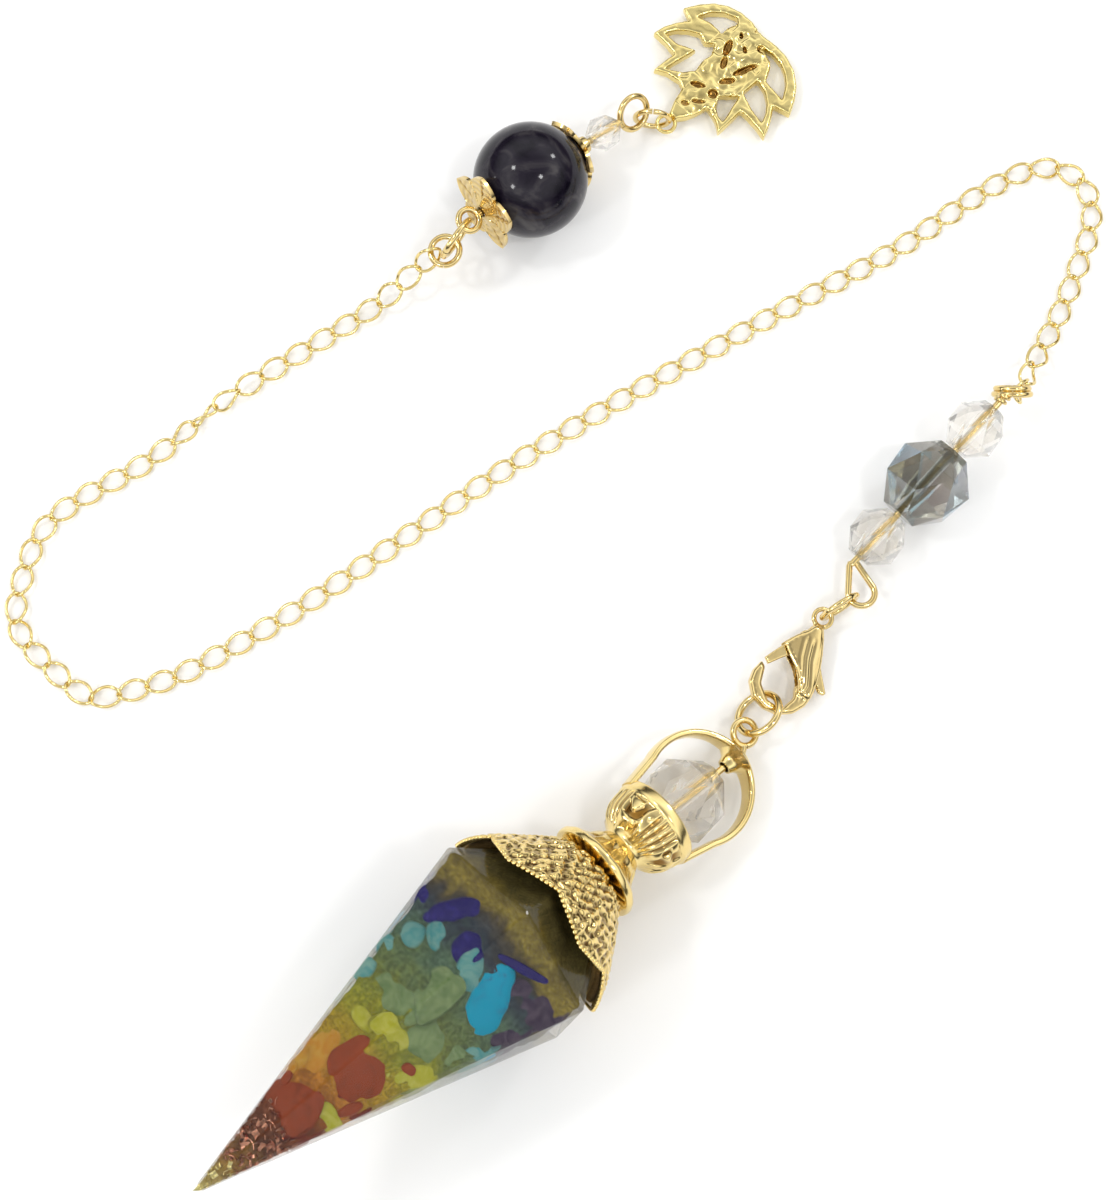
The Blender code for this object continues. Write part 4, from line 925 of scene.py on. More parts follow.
class Mineral(Enum):
    """The stones and metals that are cast into the point, each with its finish."""

    LAPIS = Chip((0.016, 0.011, 0.13), (0.045, 0.035, 0.27), 0.4)
    TURQUOISE = Chip((0.0, 0.33, 0.52), (0.03, 0.12, 0.25), 0.25)
    PALE_TURQUOISE = Chip((0.06, 0.27, 0.29), (0.24, 0.42, 0.36), 0.8)
    AMETHYST = Chip((0.035, 0.022, 0.055), (0.11, 0.08, 0.12), 0.7)
    JASPER = Chip((0.29, 0.055, 0.018), (0.20, 0.04, 0.012), 0.5)
    DARK_JASPER = Chip((0.15, 0.02, 0.010), (0.22, 0.04, 0.014), 0.5)
    AMBER = Chip((0.52, 0.23, 0.025), (0.58, 0.36, 0.06), 0.7, glow=0.3)
    CITRINE = Chip((0.40, 0.40, 0.025), (0.56, 0.55, 0.12), 0.8, glow=0.3)
    MOSS = Chip((0.13, 0.21, 0.085), (0.27, 0.36, 0.17), 0.9, glow=0.3)
    COPPER = Chip((0.72, 0.36, 0.24), (0.20, 0.075, 0.04), 0.8, metal=1.0, roughness=0.22)
    LEAF = Chip((0.90, 0.84, 0.42), (0.70, 0.55, 0.18), 0.8, metal=1.0, roughness=0.22)


# Chips under the two faces that the camera sees: stone, face, distance from the tip along the face,
# distance across it, depth under it, half length, half width, turn in the face
FACE_CHIPS = (
    (Mineral.LAPIS, 1, 28.6, 0.7, 0.3, 1.95, 0.92, -47),
    (Mineral.LAPIS, 1, 27.2, -2.4, 0.2, 1.15, 1.25, -33),
    (Mineral.LAPIS, 1, 28.2, 3.4, 1.6, 1.0, 0.8, 19),
    (Mineral.LAPIS, 0, 29.7, -0.9, 1.3, 2.1, 0.34, 61),
    (Mineral.TURQUOISE, 0, 26.2, 0.1, 0.1, 2.95, 1.8, 134),
    (Mineral.PALE_TURQUOISE, 0, 26.0, -2.6, 1.2, 1.8, 0.95, 128),
    (Mineral.PALE_TURQUOISE, 1, 25.3, 1.9, 0.9, 0.95, 0.9, 31),
    (Mineral.PALE_TURQUOISE, 1, 26.4, 0.1, 1.3, 1.2, 0.85, -116),
    (Mineral.PALE_TURQUOISE, 1, 23.6, 2.6, 1.3, 1.3, 0.95, -14),
    (Mineral.PALE_TURQUOISE, 0, 23.8, 3.0, 1.3, 1.3, 0.6, 53),
    (Mineral.AMETHYST, 0, 29.3, 2.9, 1.6, 2.2, 1.5, 40),
    (Mineral.AMETHYST, 0, 26.5, 3.3, 1.5, 1.6, 0.75, 17),
    (Mineral.AMETHYST, 0, 28.7, 0.9, 1.7, 1.2, 0.9, 55),
    (Mineral.JASPER, 0, 15.5, -0.7, 0.1, 2.9, 1.85, 102),
    (Mineral.JASPER, 1, 10.1, -0.9, 0.2, 2.6, 1.7, -86),
    (Mineral.DARK_JASPER, 0, 9.5, 0.6, 1.0, 1.6, 0.85, 30),
    (Mineral.DARK_JASPER, 0, 13.6, 1.3, 1.2, 1.5, 0.85, 64),
    (Mineral.JASPER, 0, 18.6, 1.1, 0.7, 0.55, 0.4, 67),
    (Mineral.AMBER, 1, 14.4, 0.5, 0.9, 2.1, 1.5, 9),
    (Mineral.AMBER, 1, 12.9, 1.2, 0.9, 1.2, 0.7, 8),
    (Mineral.CITRINE, 0, 11.8, 1.0, 0.7, 1.2, 0.7, 92),
    (Mineral.CITRINE, 1, 18.1, -0.1, 0.8, 1.2, 0.6, -98),
    (Mineral.CITRINE, 0, 18.8, -2.4, 0.9, 2.2, 0.9, 83),
    (Mineral.MOSS, 1, 20.8, -0.5, 0.9, 2.45, 1.7, -91),
    (Mineral.MOSS, 1, 23.0, -3.1, 0.9, 2.2, 1.95, -95),
    (Mineral.MOSS, 0, 21.0, 0.5, 0.9, 2.2, 1.6, 81),
    (Mineral.CITRINE, 0, 18.3, 1.6, 0.8, 1.9, 0.9, 29),
    (Mineral.MOSS, 0, 22.1, 2.2, 0.9, 1.0, 1.0, -23),
    (Mineral.PALE_TURQUOISE, 1, 20.9, 2.9, 1.1, 0.9, 0.7, 4),
)

# Stones by their zone from the tip, for the faces that the photograph doesn't show
ZONES = (
    (8.5, 12.0, (Mineral.JASPER, Mineral.DARK_JASPER)),
    (12.0, 16.5, (Mineral.AMBER, Mineral.JASPER)),
    (16.5, 20.0, (Mineral.CITRINE, Mineral.MOSS)),
    (20.0, 24.0, (Mineral.MOSS, Mineral.PALE_TURQUOISE)),
    (24.0, 27.0, (Mineral.TURQUOISE, Mineral.PALE_TURQUOISE)),
    (26.5, 29.5, (Mineral.LAPIS, Mineral.AMETHYST)),
)

# Share of a hexagon's corner radius that its flats stand at
FLAT = math.cos(math.pi / 6)


@dataclass
class Inclusions:
    """Core, chips, copper shavings and gold leaf cast inside the resin point."""

    axes: Axes
    ridge: float
    length: float
    shoulder: float = 5.0
    shoulder_radius: float = 5.6
    skin: float = 0.07
    chip_thick: float = 0.8
    chip_power: float = 0.85
    chip_swell: float = 1.22
    # A flake's half width and half thickness, and how far it bows over its half length
    flake: tuple = (0.16, 0.03)
    flake_bow: float = 0.35
    # How far the core lies inside the faces, by its place along the axis
    insets: tuple = ((-30.5, 0.08), (-24.0, 0.22), (-6.0, 0.36), (0.0, 0.42), (5.0, 0.45))

    def tip(self) -> Array:
        """The point's tip in its own frame."""
        return np.array((-self.length, 0.0, 0.0))

    def outwards(self, number: int) -> Array:
        """The way out of the axis through the middle of a face."""
        turn = math.radians(60 * number - 30)
        return np.array((0.0, math.sin(turn), math.cos(turn)))

    def face(self, number: int) -> tuple[Array, Array, Array]:
        """A face's way from the tip, its way across and its normal, in the point's own frame."""
        middle = self.outwards(number)
        down = unit(np.array((self.length, 0.0, 0.0)) + self.ridge * FLAT * middle)
        across = np.cross((1.0, 0.0, 0.0), middle) * -1
        normal = np.cross(down, across)
        return down, across, normal * np.sign(normal @ middle)

    def reach(self, along: Array) -> Array:
        """Distance from the axis to the faces: the lower of the point's and the shoulder's slopes."""
        front = self.ridge * (along + self.length) / self.length
        back = self.ridge - (self.ridge - self.shoulder_radius) * along / self.shoulder
        return np.minimum(front, back) * FLAT

    def within(self, grid: Array, shifts: int) -> Array:
        """A sheet's points moved back inside the faces: some times as a whole, then each by itself."""
        for whole in (*[True] * shifts, False, False):
            for number in range(6):
                normal = self.outwards(number)
                limit = np.maximum(self.reach(grid[..., 0]) - self.skin, 0.02)
                over = np.maximum(grid @ normal - limit, 0.0)[..., None]
                grid = grid - (over.max() if whole else over) * normal
        grid[..., 0] = np.clip(grid[..., 0], 0.4 - self.length, self.shoulder - 0.3)
        return grid

    def lump(self, number: int, row: tuple, seed: int) -> Sheet:
        """A tumbled chip: an ellipsoid in the face's plane, squared off and swelled by slow waves."""
        u, v, depth, long, wide, turn = row
        down, across, normal = self.face(number)
        if number == 0:
            across = -across
        thick = min(0.6 * wide, self.chip_thick)
        centre = self.tip() + down * u + across * v - normal * (0.05 + 0.2 * depth + thick)
        angle = math.radians(turn)
        a = math.cos(angle) * down + math.sin(angle) * across
        b = math.cos(angle) * across - math.sin(angle) * down
        globe = ball(18, 28)
        swell = 0.93 + 0.1 * worms(globe, 2.6, seed, 5)[..., None]
        x, y, z = np.moveaxis(squared(globe, self.chip_power) * swell, -1, 0)
        flat = x[..., None] * long * a + y[..., None] * wide * b
        grid = centre + self.chip_swell * flat + z[..., None] * thick * normal
        return placed(surface(self.within(grid, 0)), self.axes)

    def chips(self) -> None:
        """The chips of each stone as one piece: the tabled ones and, by zone, those of four faces."""
        sheets: dict[Mineral, list[Sheet]] = {stone: [] for stone in Mineral}
        for seed, (stone, number, *row) in enumerate(FACE_CHIPS):
            sheets[stone].append(self.lump(number, tuple(row), seed))
        chance = np.random.default_rng(17)
        for number in (2, 3, 4, 5):
            for low, high, stones in ZONES:
                for place in (-0.42, 0.1, 0.5):
                    u = chance.uniform(low, high)
                    half = u / self.length * self.ridge / 2
                    depth, long = chance.uniform(0.9, 1.3), chance.uniform(0.9, 1.5)
                    turn = chance.uniform(0, 180)
                    row = (u, place * half, depth, long, long * chance.uniform(0.6, 0.9), turn)
                    stone = stones[int(chance.integers(len(stones)))]
                    sheets[stone].append(self.lump(number, row, int(chance.integers(999))))
        for stone, lumps in sheets.items():
            if lumps:
                make(stone.name.lower() + "_chips", lumps, stone.value)

    def core(self) -> None:
        """Packed filling: the point's own six-sided pyramid, smaller, its faces stirred by waves."""
        along = np.linspace(self.insets[0][0], self.shoulder - 0.7, 120)[:, None]
        turn = wheel(120)
        wedge = (turn + np.pi / 6) % (np.pi / 3) - np.pi / 6
        inset = np.interp(along, *zip(*self.insets, strict=True))
        reach = np.maximum(self.reach(along) - inset, 0.06) / np.cos(np.pi / 6 - np.abs(wedge))
        grid = about_x(along, reach, np.pi / 2 - turn)
        stir = worms(grid, 3.4, 3) * 0.5 + worms(grid, 1.3, 4) * 0.25 - 0.75
        grid[..., 1:] *= (1 + stir * 0.7 * inset / np.maximum(reach, 0.4))[..., None]
        share = np.broadcast_to((along + self.length) / (self.length + self.shoulder), grid.shape[:2])
        filling = placed(surface(grid, hollow=share), self.axes)
        make("packed_core", [filling], PackedCore())

    def shavings(
        self, name: str, stone: Mineral, low: float, high: float, count: int, size: float
    ) -> None:
        """Curled flakes under every face between two distances from the tip, turned at random."""
        chance = np.random.default_rng(23)
        bow = np.linspace(-1, 1, 7)[:, None]
        flat = np.array(((1, 1), (-1, 1), (-1, -1), (1, -1))) * self.flake
        flakes = []
        for _ in range(count):
            down, across, normal = self.face(int(chance.integers(6)))
            u = chance.uniform(low, high)
            wide = u / self.length * self.ridge
            aside = chance.uniform(-0.36 * wide, 0.36 * wide)
            under = min(chance.uniform(0.08, 0.3), 0.45 * wide)
            centre = self.tip() + down * u + across * aside - normal * under
            a = unit(chance.normal(size=3))
            b = unit(np.cross(a, chance.normal(size=3)))
            long = min(size, 0.3 * wide) * chance.uniform(0.5, 1.2)
            line = centre + long * bow * a + self.flake_bow * long * bow**2 * b
            side = np.cross(a, b) * chance.uniform(0.7, 1.6)
            grid = line[:, None] + flat[:, :1] * side + flat[:, 1:] * b
            flakes.append(placed(surface(self.within(grid, 3)), self.axes))
        make(name, flakes, stone.value, sharp=30)

    def build(self) -> None:
        """Makes the core, the chips, the copper shavings and the leaf at the tip."""
        self.core()
        self.chips()
        self.shavings("copper_shavings", Mineral.COPPER, 3.8, 9.3, 260, 0.42)
        self.shavings("gold_leaf", Mineral.LEAF, 0.9, 4.0, 60, 0.5)


@dataclass(frozen=True)
class Ring:
    """A jump ring: its node, where it lies, its size and where its joint is."""

    node: str
    origin: tuple
    azimuth: float
    rise: float
    roll: float
    radius: float
    wire: float
    joint: float

    def axes(self) -> Axes:
        """Frame whose X holds the ring's heading, rolled about it."""
        return axes_along(self.origin, heading(self.azimuth, self.rise)).rolled(self.roll)

    def build(self) -> None:
        """Bends the ring from round wire, its two ends butted with a hairline between them."""
        sheet = ring_wire(self.axes(), self.radius, self.wire, self.joint, 0.07)
        make(self.node + "_wire", [sheet], GoldPlate(roughness=0.1), (self.node,))


RINGS = (
    Ring("pendant_ring", (17.1735, -10.1575, 1.6443), 54.0, 0.0, -42.0, 1.95, 0.32, 150.0),
    Ring("strand_ring", (24.1685, -1.0545, 2.0603), 32.0, 0.0, 90.0, 1.75, 0.25, 60.0),
    Ring("chain_ring", (-9.3945, 30.0905, 4.1333), 40.0, 10.0, 0.0, 1.27, 0.28, 225.0),
    Ring("link_ring", (-8.3475, 30.6995, 5.5133), 51.0, 25.0, 100.0, 1.88, 0.28, 130.0),
    Ring("charm_ring", (8.7815, 43.5055, 1.8103), -5.0, 0.0, 90.0, 1.5, 0.25, 90.0),
)


@dataclass
class Strand:
    """Three cut beads on a pin, with a teardrop loop below and a round loop above."""

    middle: tuple = (31.5505, 9.2695, 3.8503)
    azimuth: float = 46.8
    tilt: float = 11.76
    pin_half: float = 9.173
    neck: float = 0.9
    apex: tuple = (25.4025, 2.723, 1.981)
    far: tuple = (26.321, -0.963, 2.093)
    drop_length: float = 3.8
    drop_radius: float = 1.12
    loop_centre: tuple = (39.0509, 16.9025, 4.6822)
    loop_lean: float = 20.0
    loop_radius: float = 1.5
    wraps: float = 2.0
    coil_radius: float = 0.42
    coil_wire: float = 0.17
    second_turn: float = 0.48

    def teardrop(self) -> Sheet:
        """Closed loop: an arc of 230 degrees round its far end and two straight legs to its apex."""
        apex, far = np.array(self.apex), np.array(self.far)
        drop = unit(far - apex)
        across = unit(np.cross(drop, (0, 0, 1)))
        middle = apex + drop * (self.drop_length - self.drop_radius)
        turn = np.radians(np.linspace(-115, 115, 49))[:, None]
        bow = middle + self.drop_radius * (drop * np.cos(turn) + across * np.sin(turn))
        neck = across * WIRES.loop * 1.05
        share = np.linspace(0, 1, 12, endpoint=False)[:, None]
        first = (apex - neck) + (bow[0] - apex + neck) * share
        last = bow[-1] + (apex + neck - bow[-1]) * (share + 1 / 12)
        return tube(np.vstack([first, bow, last]), WIRES.loop, np.cross(drop, across), closed=True)

    def build(self) -> None:
        """Makes the pin with its loops, and dresses the three beads."""
        along = heading(self.azimuth, self.tilt)
        axes = axes_along(self.middle, along)
        face = heading(90.0, self.loop_lean)
        loop = axes_along(self.loop_centre, np.cross(face, (0, 0, 1)), tuple(face))
        wraps = np.linspace(0, 2 * np.pi * self.wraps, 60)
        start = self.pin_half + 0.05
        radius = np.full_like(wraps, self.coil_radius)
        coil = about_x(start + self.neck * wraps / wraps[-1], radius, wraps)
        second = loop.moved(0.0, 0.0, self.second_turn)
        sheets = [
            straight_pin(axes, -self.pin_half, self.pin_half + self.neck),
            placed(tube(coil, self.coil_wire, (1, 0, 0), 10), axes),
            self.teardrop(),
            ring_wire(loop, self.loop_radius, WIRES.loop, -100.0),
            ring_wire(second, self.loop_radius - 0.12, WIRES.loop * 0.9, 80.0),
        ]
        make("strand_pin_wire", sheets, GoldPlate(roughness=0.12), ("strand_pin",))
        cut_stone("clear_bead_lower", CutGlass())
        cut_stone("clear_bead_upper", CutGlass())
        # Painted light and shade by facet for the grey crystal: dark olive sides, a blue facet and paler
        # ones
        tones = (
            (0.0, (0.09, 0.07, 0.025)),
            (0.3, (0.42, 0.42, 0.33)),
            (0.6, (0.13, 0.36, 0.62)),
            (0.8, (0.50, 0.40, 0.36)),
            (1.0, (0.19, 0.20, 0.12)),
        )
        smoke = CutGlass(tones=tones, cloud=(0.42, 0.44, 0.38), alpha=0.9, index=1.58)
        cut_stone("grey_crystal", smoke)


@dataclass(frozen=True)
class PetalCap:
    """A bead cap's name and node, how far its rim flares, its petals, their notch and its neck."""

    name: str
    node: str
    flare: float
    petals: int
    notch: float
    neck: float


@dataclass
class FingerBead:
    """Dark bead between two petal caps, with a small cut bead, on a pin with two loops."""

    radius: float = 5.0
    azimuth: float = 39.0
    drop: float = 11.0
    wall: float = 0.28
    cap_lift: float = 0.52
    cap_end: float = 0.67
    cap_neck: float = 0.9
    small: float = 3.3
    space: float = 0.28
    lower_radius: float = 0.95
    upper_radius: float = 1.5
    lower_roll: float = 20.0
    upper_roll: float = 54.0
    petal_relief: float = 0.07
    # A cap's line: the angle from the bead's axis, and the share of the rim's flare there
    cap_line: tuple = ((36.0, 1.0), (27.0, 0.35), (18.0, 0.0), (10.0, 0.0))

    def axes(self) -> Axes:
        """Frame with X from the lower loop to the charm's loop."""
        return axes_along(FINGER_BEAD_SPOT, heading(self.azimuth, -self.drop))

    def bead(self, axes: Axes) -> None:
        """Polished ball with a drilled hole: a circle's arc turned about X, closed along the bore."""
        turn = np.radians(np.linspace(6.0, 174.0, 66))
        line = np.stack([-self.radius * np.cos(turn), self.radius * np.sin(turn)], 1)
        line = np.vstack([(line[0, 0], WIRES.bore), line, (line[-1, 0], WIRES.bore)])
        stone = placed(surface(turned(line, 96), True), axes)
        make("finger_bead_stone", [stone], DarkStone(), ("dark_bead",))

    def petal_cap(self, cap: PetalCap, axes: Axes) -> None:
        """Cap on the bead: a line that follows the ball and flares at its rim, lobed into petals.

        Each petal carries a groove down its middle, a raised border and fine veins that lean out.
        """
        rows = []
        for angle, share in self.cap_line:
            reach, turn = self.radius + self.cap_lift + share * cap.flare, math.radians(angle)
            rows.append((reach * math.cos(turn), reach * math.sin(turn)))
        rows.append((rows[-1][0] + cap.neck, WIRES.bore + 0.24))
        outer, normal, away = lobed(smooth_line(rows, 160), cap.petals, cap.notch, 0.65, (60, 300))
        share = np.linspace(0, 1, len(outer))[:, None]
        body = held(share * 7) * held((0.8 - share) * 6)
        border = bell(away - 0.97, 0.05) + bell(share, 0.06)
        groove = bell(away, 0.08) * body
        veins = 0.35 * np.cos(26 * share + 9 * away) * body
        relief = 0.8 * border * (share < 0.85) - groove + veins
        # Patina and painted shade: the inside at a recess depth of 0.6, grooves and veins darker than
        # borders
        wall = Wall(self.wall, 2, 0.6, 0.68)
        sheet = wall.close(outer, normal, self.petal_relief * relief, held(0.35 - 0.5 * relief))
        finish = GoldPlate(patina_and_shade=(0.30, 0.17, 0.03))
        make(cap.name, [placed(sheet, axes)], finish, (cap.node,), sharp=80)

    def build(self) -> None:
        """Makes the bead, its caps and its pin, and dresses the small bead."""
        axes = self.axes()
        self.bead(axes)
        upper_cap = PetalCap("upper_petal_cap", "finger_cap_upper", 0.0, 6, 0.3, self.cap_neck)
        self.petal_cap(upper_cap, axes)
        lower_cap = PetalCap("lower_petal_cap", "finger_cap_lower", 0.9, 5, 0.4, 0.1)
        self.petal_cap(lower_cap, axes.reversed())
        cut_stone("small_bead", CutGlass())
        stack = self.radius + self.cap_end
        small = self.small / 2 * math.sqrt(1 - TABLE**2)
        upper = stack + self.cap_neck + 2 * (small + self.space) + WIRES.loop + self.upper_radius
        lower = -(stack + WIRES.loop + self.lower_radius)
        sheets = [
            straight_pin(axes, lower + self.lower_radius, upper - self.upper_radius),
            ring_wire(axes.rolled(self.lower_roll).moved(lower), self.lower_radius, WIRES.loop, 30.0),
            ring_wire(axes.rolled(self.upper_roll).moved(upper), self.upper_radius, WIRES.loop, 200.0),
        ]
        make("finger_pin_wire", sheets, GoldPlate(roughness=0.12), ("finger_pin",))


@dataclass
class CurbChain:
    """Curb chain: twisted oval links along a route over the table, one through the next."""

    length: float = 2.96
    width: float = 2.05
    wire: float = 0.145
    twist: float = 39.0
    weld: float = 0.05
    squeeze: float = 0.97
    lift: float = 0.04
    points: int = 30
    sides: int = 8
    first: tuple = (39.585, 16.716, 3.954, -93.918)
    last: tuple = (-10.008, 30.108, 4.328, 133.768)
    # The way over the table, along X and along Y, and by row where it lifts and rolls
    route: tuple = (
        (42.0, 21.2), (44.1, 24.9), (46.0, 29.3), (47.7, 34.0), (47.7, 36.9), (46.3, 38.9),
        (44.1, 39.5), (41.5, 38.9), (37.0, 36.3), (30.4, 31.7), (21.4, 26.7), (12.5, 21.6),
        (3.8, 16.5), (-4.4, 11.3), (-12.7, 5.4), (-21.1, -0.5), (-27.5, -4.4), (-31.7, -6.7),
        (-36.4, -8.2), (-38.7, -8.8), (-40.7, -7.7), (-43.8, -4.8), (-45.5, -3.1), (-45.9, -1.0),
        (-45.3, 2.0), (-44.4, 5.2), (-43.0, 7.2), (-39.7, 9.5), (-36.0, 11.5), (-32.5, 14.2),
        (-29.4, 16.8), (-26.4, 19.1), (-22.0, 22.1), (-16.3, 25.8),
    )
    lifts: tuple = ((0, 0.8), (29, 0.1), (30, 0.72), (31, 0.36))
    rolls: tuple = ((29, 12.0), (30, 90.0), (31, 158.0), (32, 180.0), (33, 180.0))

    def link_lines(self, centre: Array, ahead: Array, up: Array) -> tuple[Array, Array]:
        """Wire lines of all links: ovals whose plane turns by the twist along their length."""
        half, reach = self.length / 2 - self.wire, self.squeeze * (self.width / 2 - self.wire)
        turn = wheel(self.points)
        lean = np.radians(self.twist) * np.cos(turn)
        side = np.cross(up, ahead)
        line = centre[:, None] + (half * np.cos(turn))[:, None] * ahead[:, None]
        line = line + (reach * np.sin(turn) * np.cos(lean))[:, None] * side[:, None]
        line = line + (reach * np.sin(turn) * np.sin(lean))[:, None] * up[:, None]
        normal = np.cos(lean)[:, None] * up[:, None] - np.sin(lean)[:, None] * side[:, None]
        return line, normal

    def lying_height(self, roll: Array) -> Array:
        """Height of a link's middle when it rests on the table at each roll about its length."""
        one = np.array(((1.0, 0.0, 0.0),))
        line, _ = self.link_lines(np.zeros((1, 3)), one, np.array(((0.0, 0.0, 1.0),)))
        coarse = line[0, :: self.points // 10]
        lifted = np.abs(np.cos(roll)[:, None] * coarse[:, 2] + np.sin(roll)[:, None] * coarse[:, 1])
        return lifted.max(axis=1) + self.wire + self.lift

    def build(self) -> None:
        """Lays the links along the route and sweeps each one's wire, all as whole arrays."""
        flat = float(self.lying_height(np.zeros(1))[0])
        lifts, rolls = dict(self.lifts), dict(self.rolls)
        corners = [self.first]
        for number, spot in enumerate(self.route):
            corners.append((*spot, flat + lifts.get(number, 0.0), rolls.get(number, 0.0)))
        corners = np.array([*corners, self.last])
        fine = smooth_line(corners, 4000)
        steps = np.linalg.norm(np.diff(fine[:, :3], axis=0), axis=1)
        pitch = self.length - 4 * self.wire + self.weld
        count = round(float(steps.sum()) / pitch)
        rows = smooth_line(corners, count + 1)
        roll = np.radians(rows[:, 3])
        line = rows[:, :3].copy()
        line[:, 2] = np.maximum(line[:, 2], self.lying_height(roll))
        ahead = unit(np.diff(line, axis=0))
        side = unit(np.cross((0.0, 0.0, 1.0), ahead))
        angle = ((roll[:-1] + roll[1:]) / 2)[:, None]
        up = np.cos(angle) * np.cross(ahead, side) + np.sin(angle) * side
        path, normal = self.link_lines((line[:-1] + line[1:]) / 2, ahead, up)
        sheets = [surface(link, True) for link in swept(path, normal, self.wire, self.sides, True)]
        finish = GoldPlate(colour=(0.80, 0.66, 0.30), roughness=0.12, wear=0.06)
        make("curb_chain_links", sheets, finish, ("chain",), sharp=85)


def cast_copy(node: str, voxel: float, rounds: int) -> bpy.types.Mesh:
    """A CAD node's shape with its edges rounded as casting and polishing leave them.

    Args:
        node: The CAD node.
        voxel: Cell of the remesh, in millimetres.
        rounds: Rounds of smoothing.

    Returns:
        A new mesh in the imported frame.
    """
    copy = linked(node + "_copy", welded(node))
    cells = copy.modifiers.new("cells", "REMESH")
    cells.mode = "VOXEL"
    cells.voxel_size = voxel * MM
    polish = copy.modifiers.new("polish", "SMOOTH")
    polish.factor = 0.5
    polish.iterations = rounds
    graph = bpy.context.evaluated_depsgraph_get()
    made = bpy.data.meshes.new_from_object(copy.evaluated_get(graph))
    bpy.data.objects.remove(copy)
    return made


def carve(mesh: bpy.types.Mesh, axes: Axes, depth: Callable[[Array, Array], Array]) -> None:
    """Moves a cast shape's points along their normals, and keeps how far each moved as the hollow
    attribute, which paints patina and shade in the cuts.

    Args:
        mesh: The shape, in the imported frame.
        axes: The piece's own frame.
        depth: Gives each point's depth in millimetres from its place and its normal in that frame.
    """
    count = len(mesh.vertices)
    points, normals = np.zeros(count * 3), np.zeros(count * 3)
    mesh.vertices.foreach_get("co", points)
    mesh.vertices.foreach_get("normal", normals)
    points, normals = points.reshape(-1, 3) / MM, normals.reshape(-1, 3)
    local = (points - SHIFT - axes.origin) @ axes.rows.T
    cut = depth(local, normals @ axes.rows.T)
    points -= normals * cut[:, None]
    mesh.vertices.foreach_set("co", (inside(points) * MM).reshape(-1))
    # Patina and painted shade: the cut's depth darkens the gold in grooves and hollows
    keep(mesh, "hollow", "POINT", held(cut * 2.6))


@dataclass
class LobsterClasp:
    """Cast lobster clasp: body with hook and eye, and its lever."""

    origin: tuple = (22.8095, -1.9035, 1.3563)
    azimuth: float = 63.1
    rise: float = -1.2732
    roll: float = 12.0
    groove: float = 0.085
    dome: float = 0.1
    # The back's middle by distance from the eye; each groove's place beside it and its width
    back_line: tuple = ((1.5, 0.35), (4.0, -0.2), (6.0, -1.05), (8.0, -0.9))
    groove_lines: tuple = ((0.36, 0.17), (-0.26, 0.15))

    def axes(self) -> Axes:
        """Frame with its origin in the eye and X from the hook to the eye."""
        return axes_along(self.origin, heading(self.azimuth, self.rise)).rolled(self.roll)

    def grooves(self, local: Array, normal: Array) -> Array:
        """Two long grooves that follow the body's back down to the hook, on both its faces."""
        back = -local[:, 0]
        off = local[:, 1] - np.interp(back, *zip(*self.back_line, strict=True))
        face = held(np.abs(normal[:, 2]) * 1.5 - 0.4)
        reach = held((back - 2.0) * 1.2) * held((7.6 - back) * 1.2)
        lines = sum(bell(off - side, width) for side, width in self.groove_lines)
        dome = self.dome * held((off / 0.9) ** 2) * held((6.4 - back) * 1.5)
        return (self.groove * lines * reach + dome) * face

    def plain(self, local: Array, normal: Array) -> Array:
        """No depth anywhere, for the lever's smooth faces."""
        return 0.0 * local[:, 0] * normal[:, 0]

    def build(self) -> None:
        """Casts the body with its grooves, and the lever."""
        body = cast_copy("clasp_body", 0.062, 36)
        carve(body, self.axes(), self.grooves)
        finished("clasp_body_cast", body, GoldPlate(roughness=0.11), ("clasp_body",))
        lever = cast_copy("clasp_lever", 0.05, 10)
        carve(lever, self.axes(), self.plain)
        finished("clasp_lever_cast", lever, GoldPlate(), ("clasp_lever",), Body.LEVER)


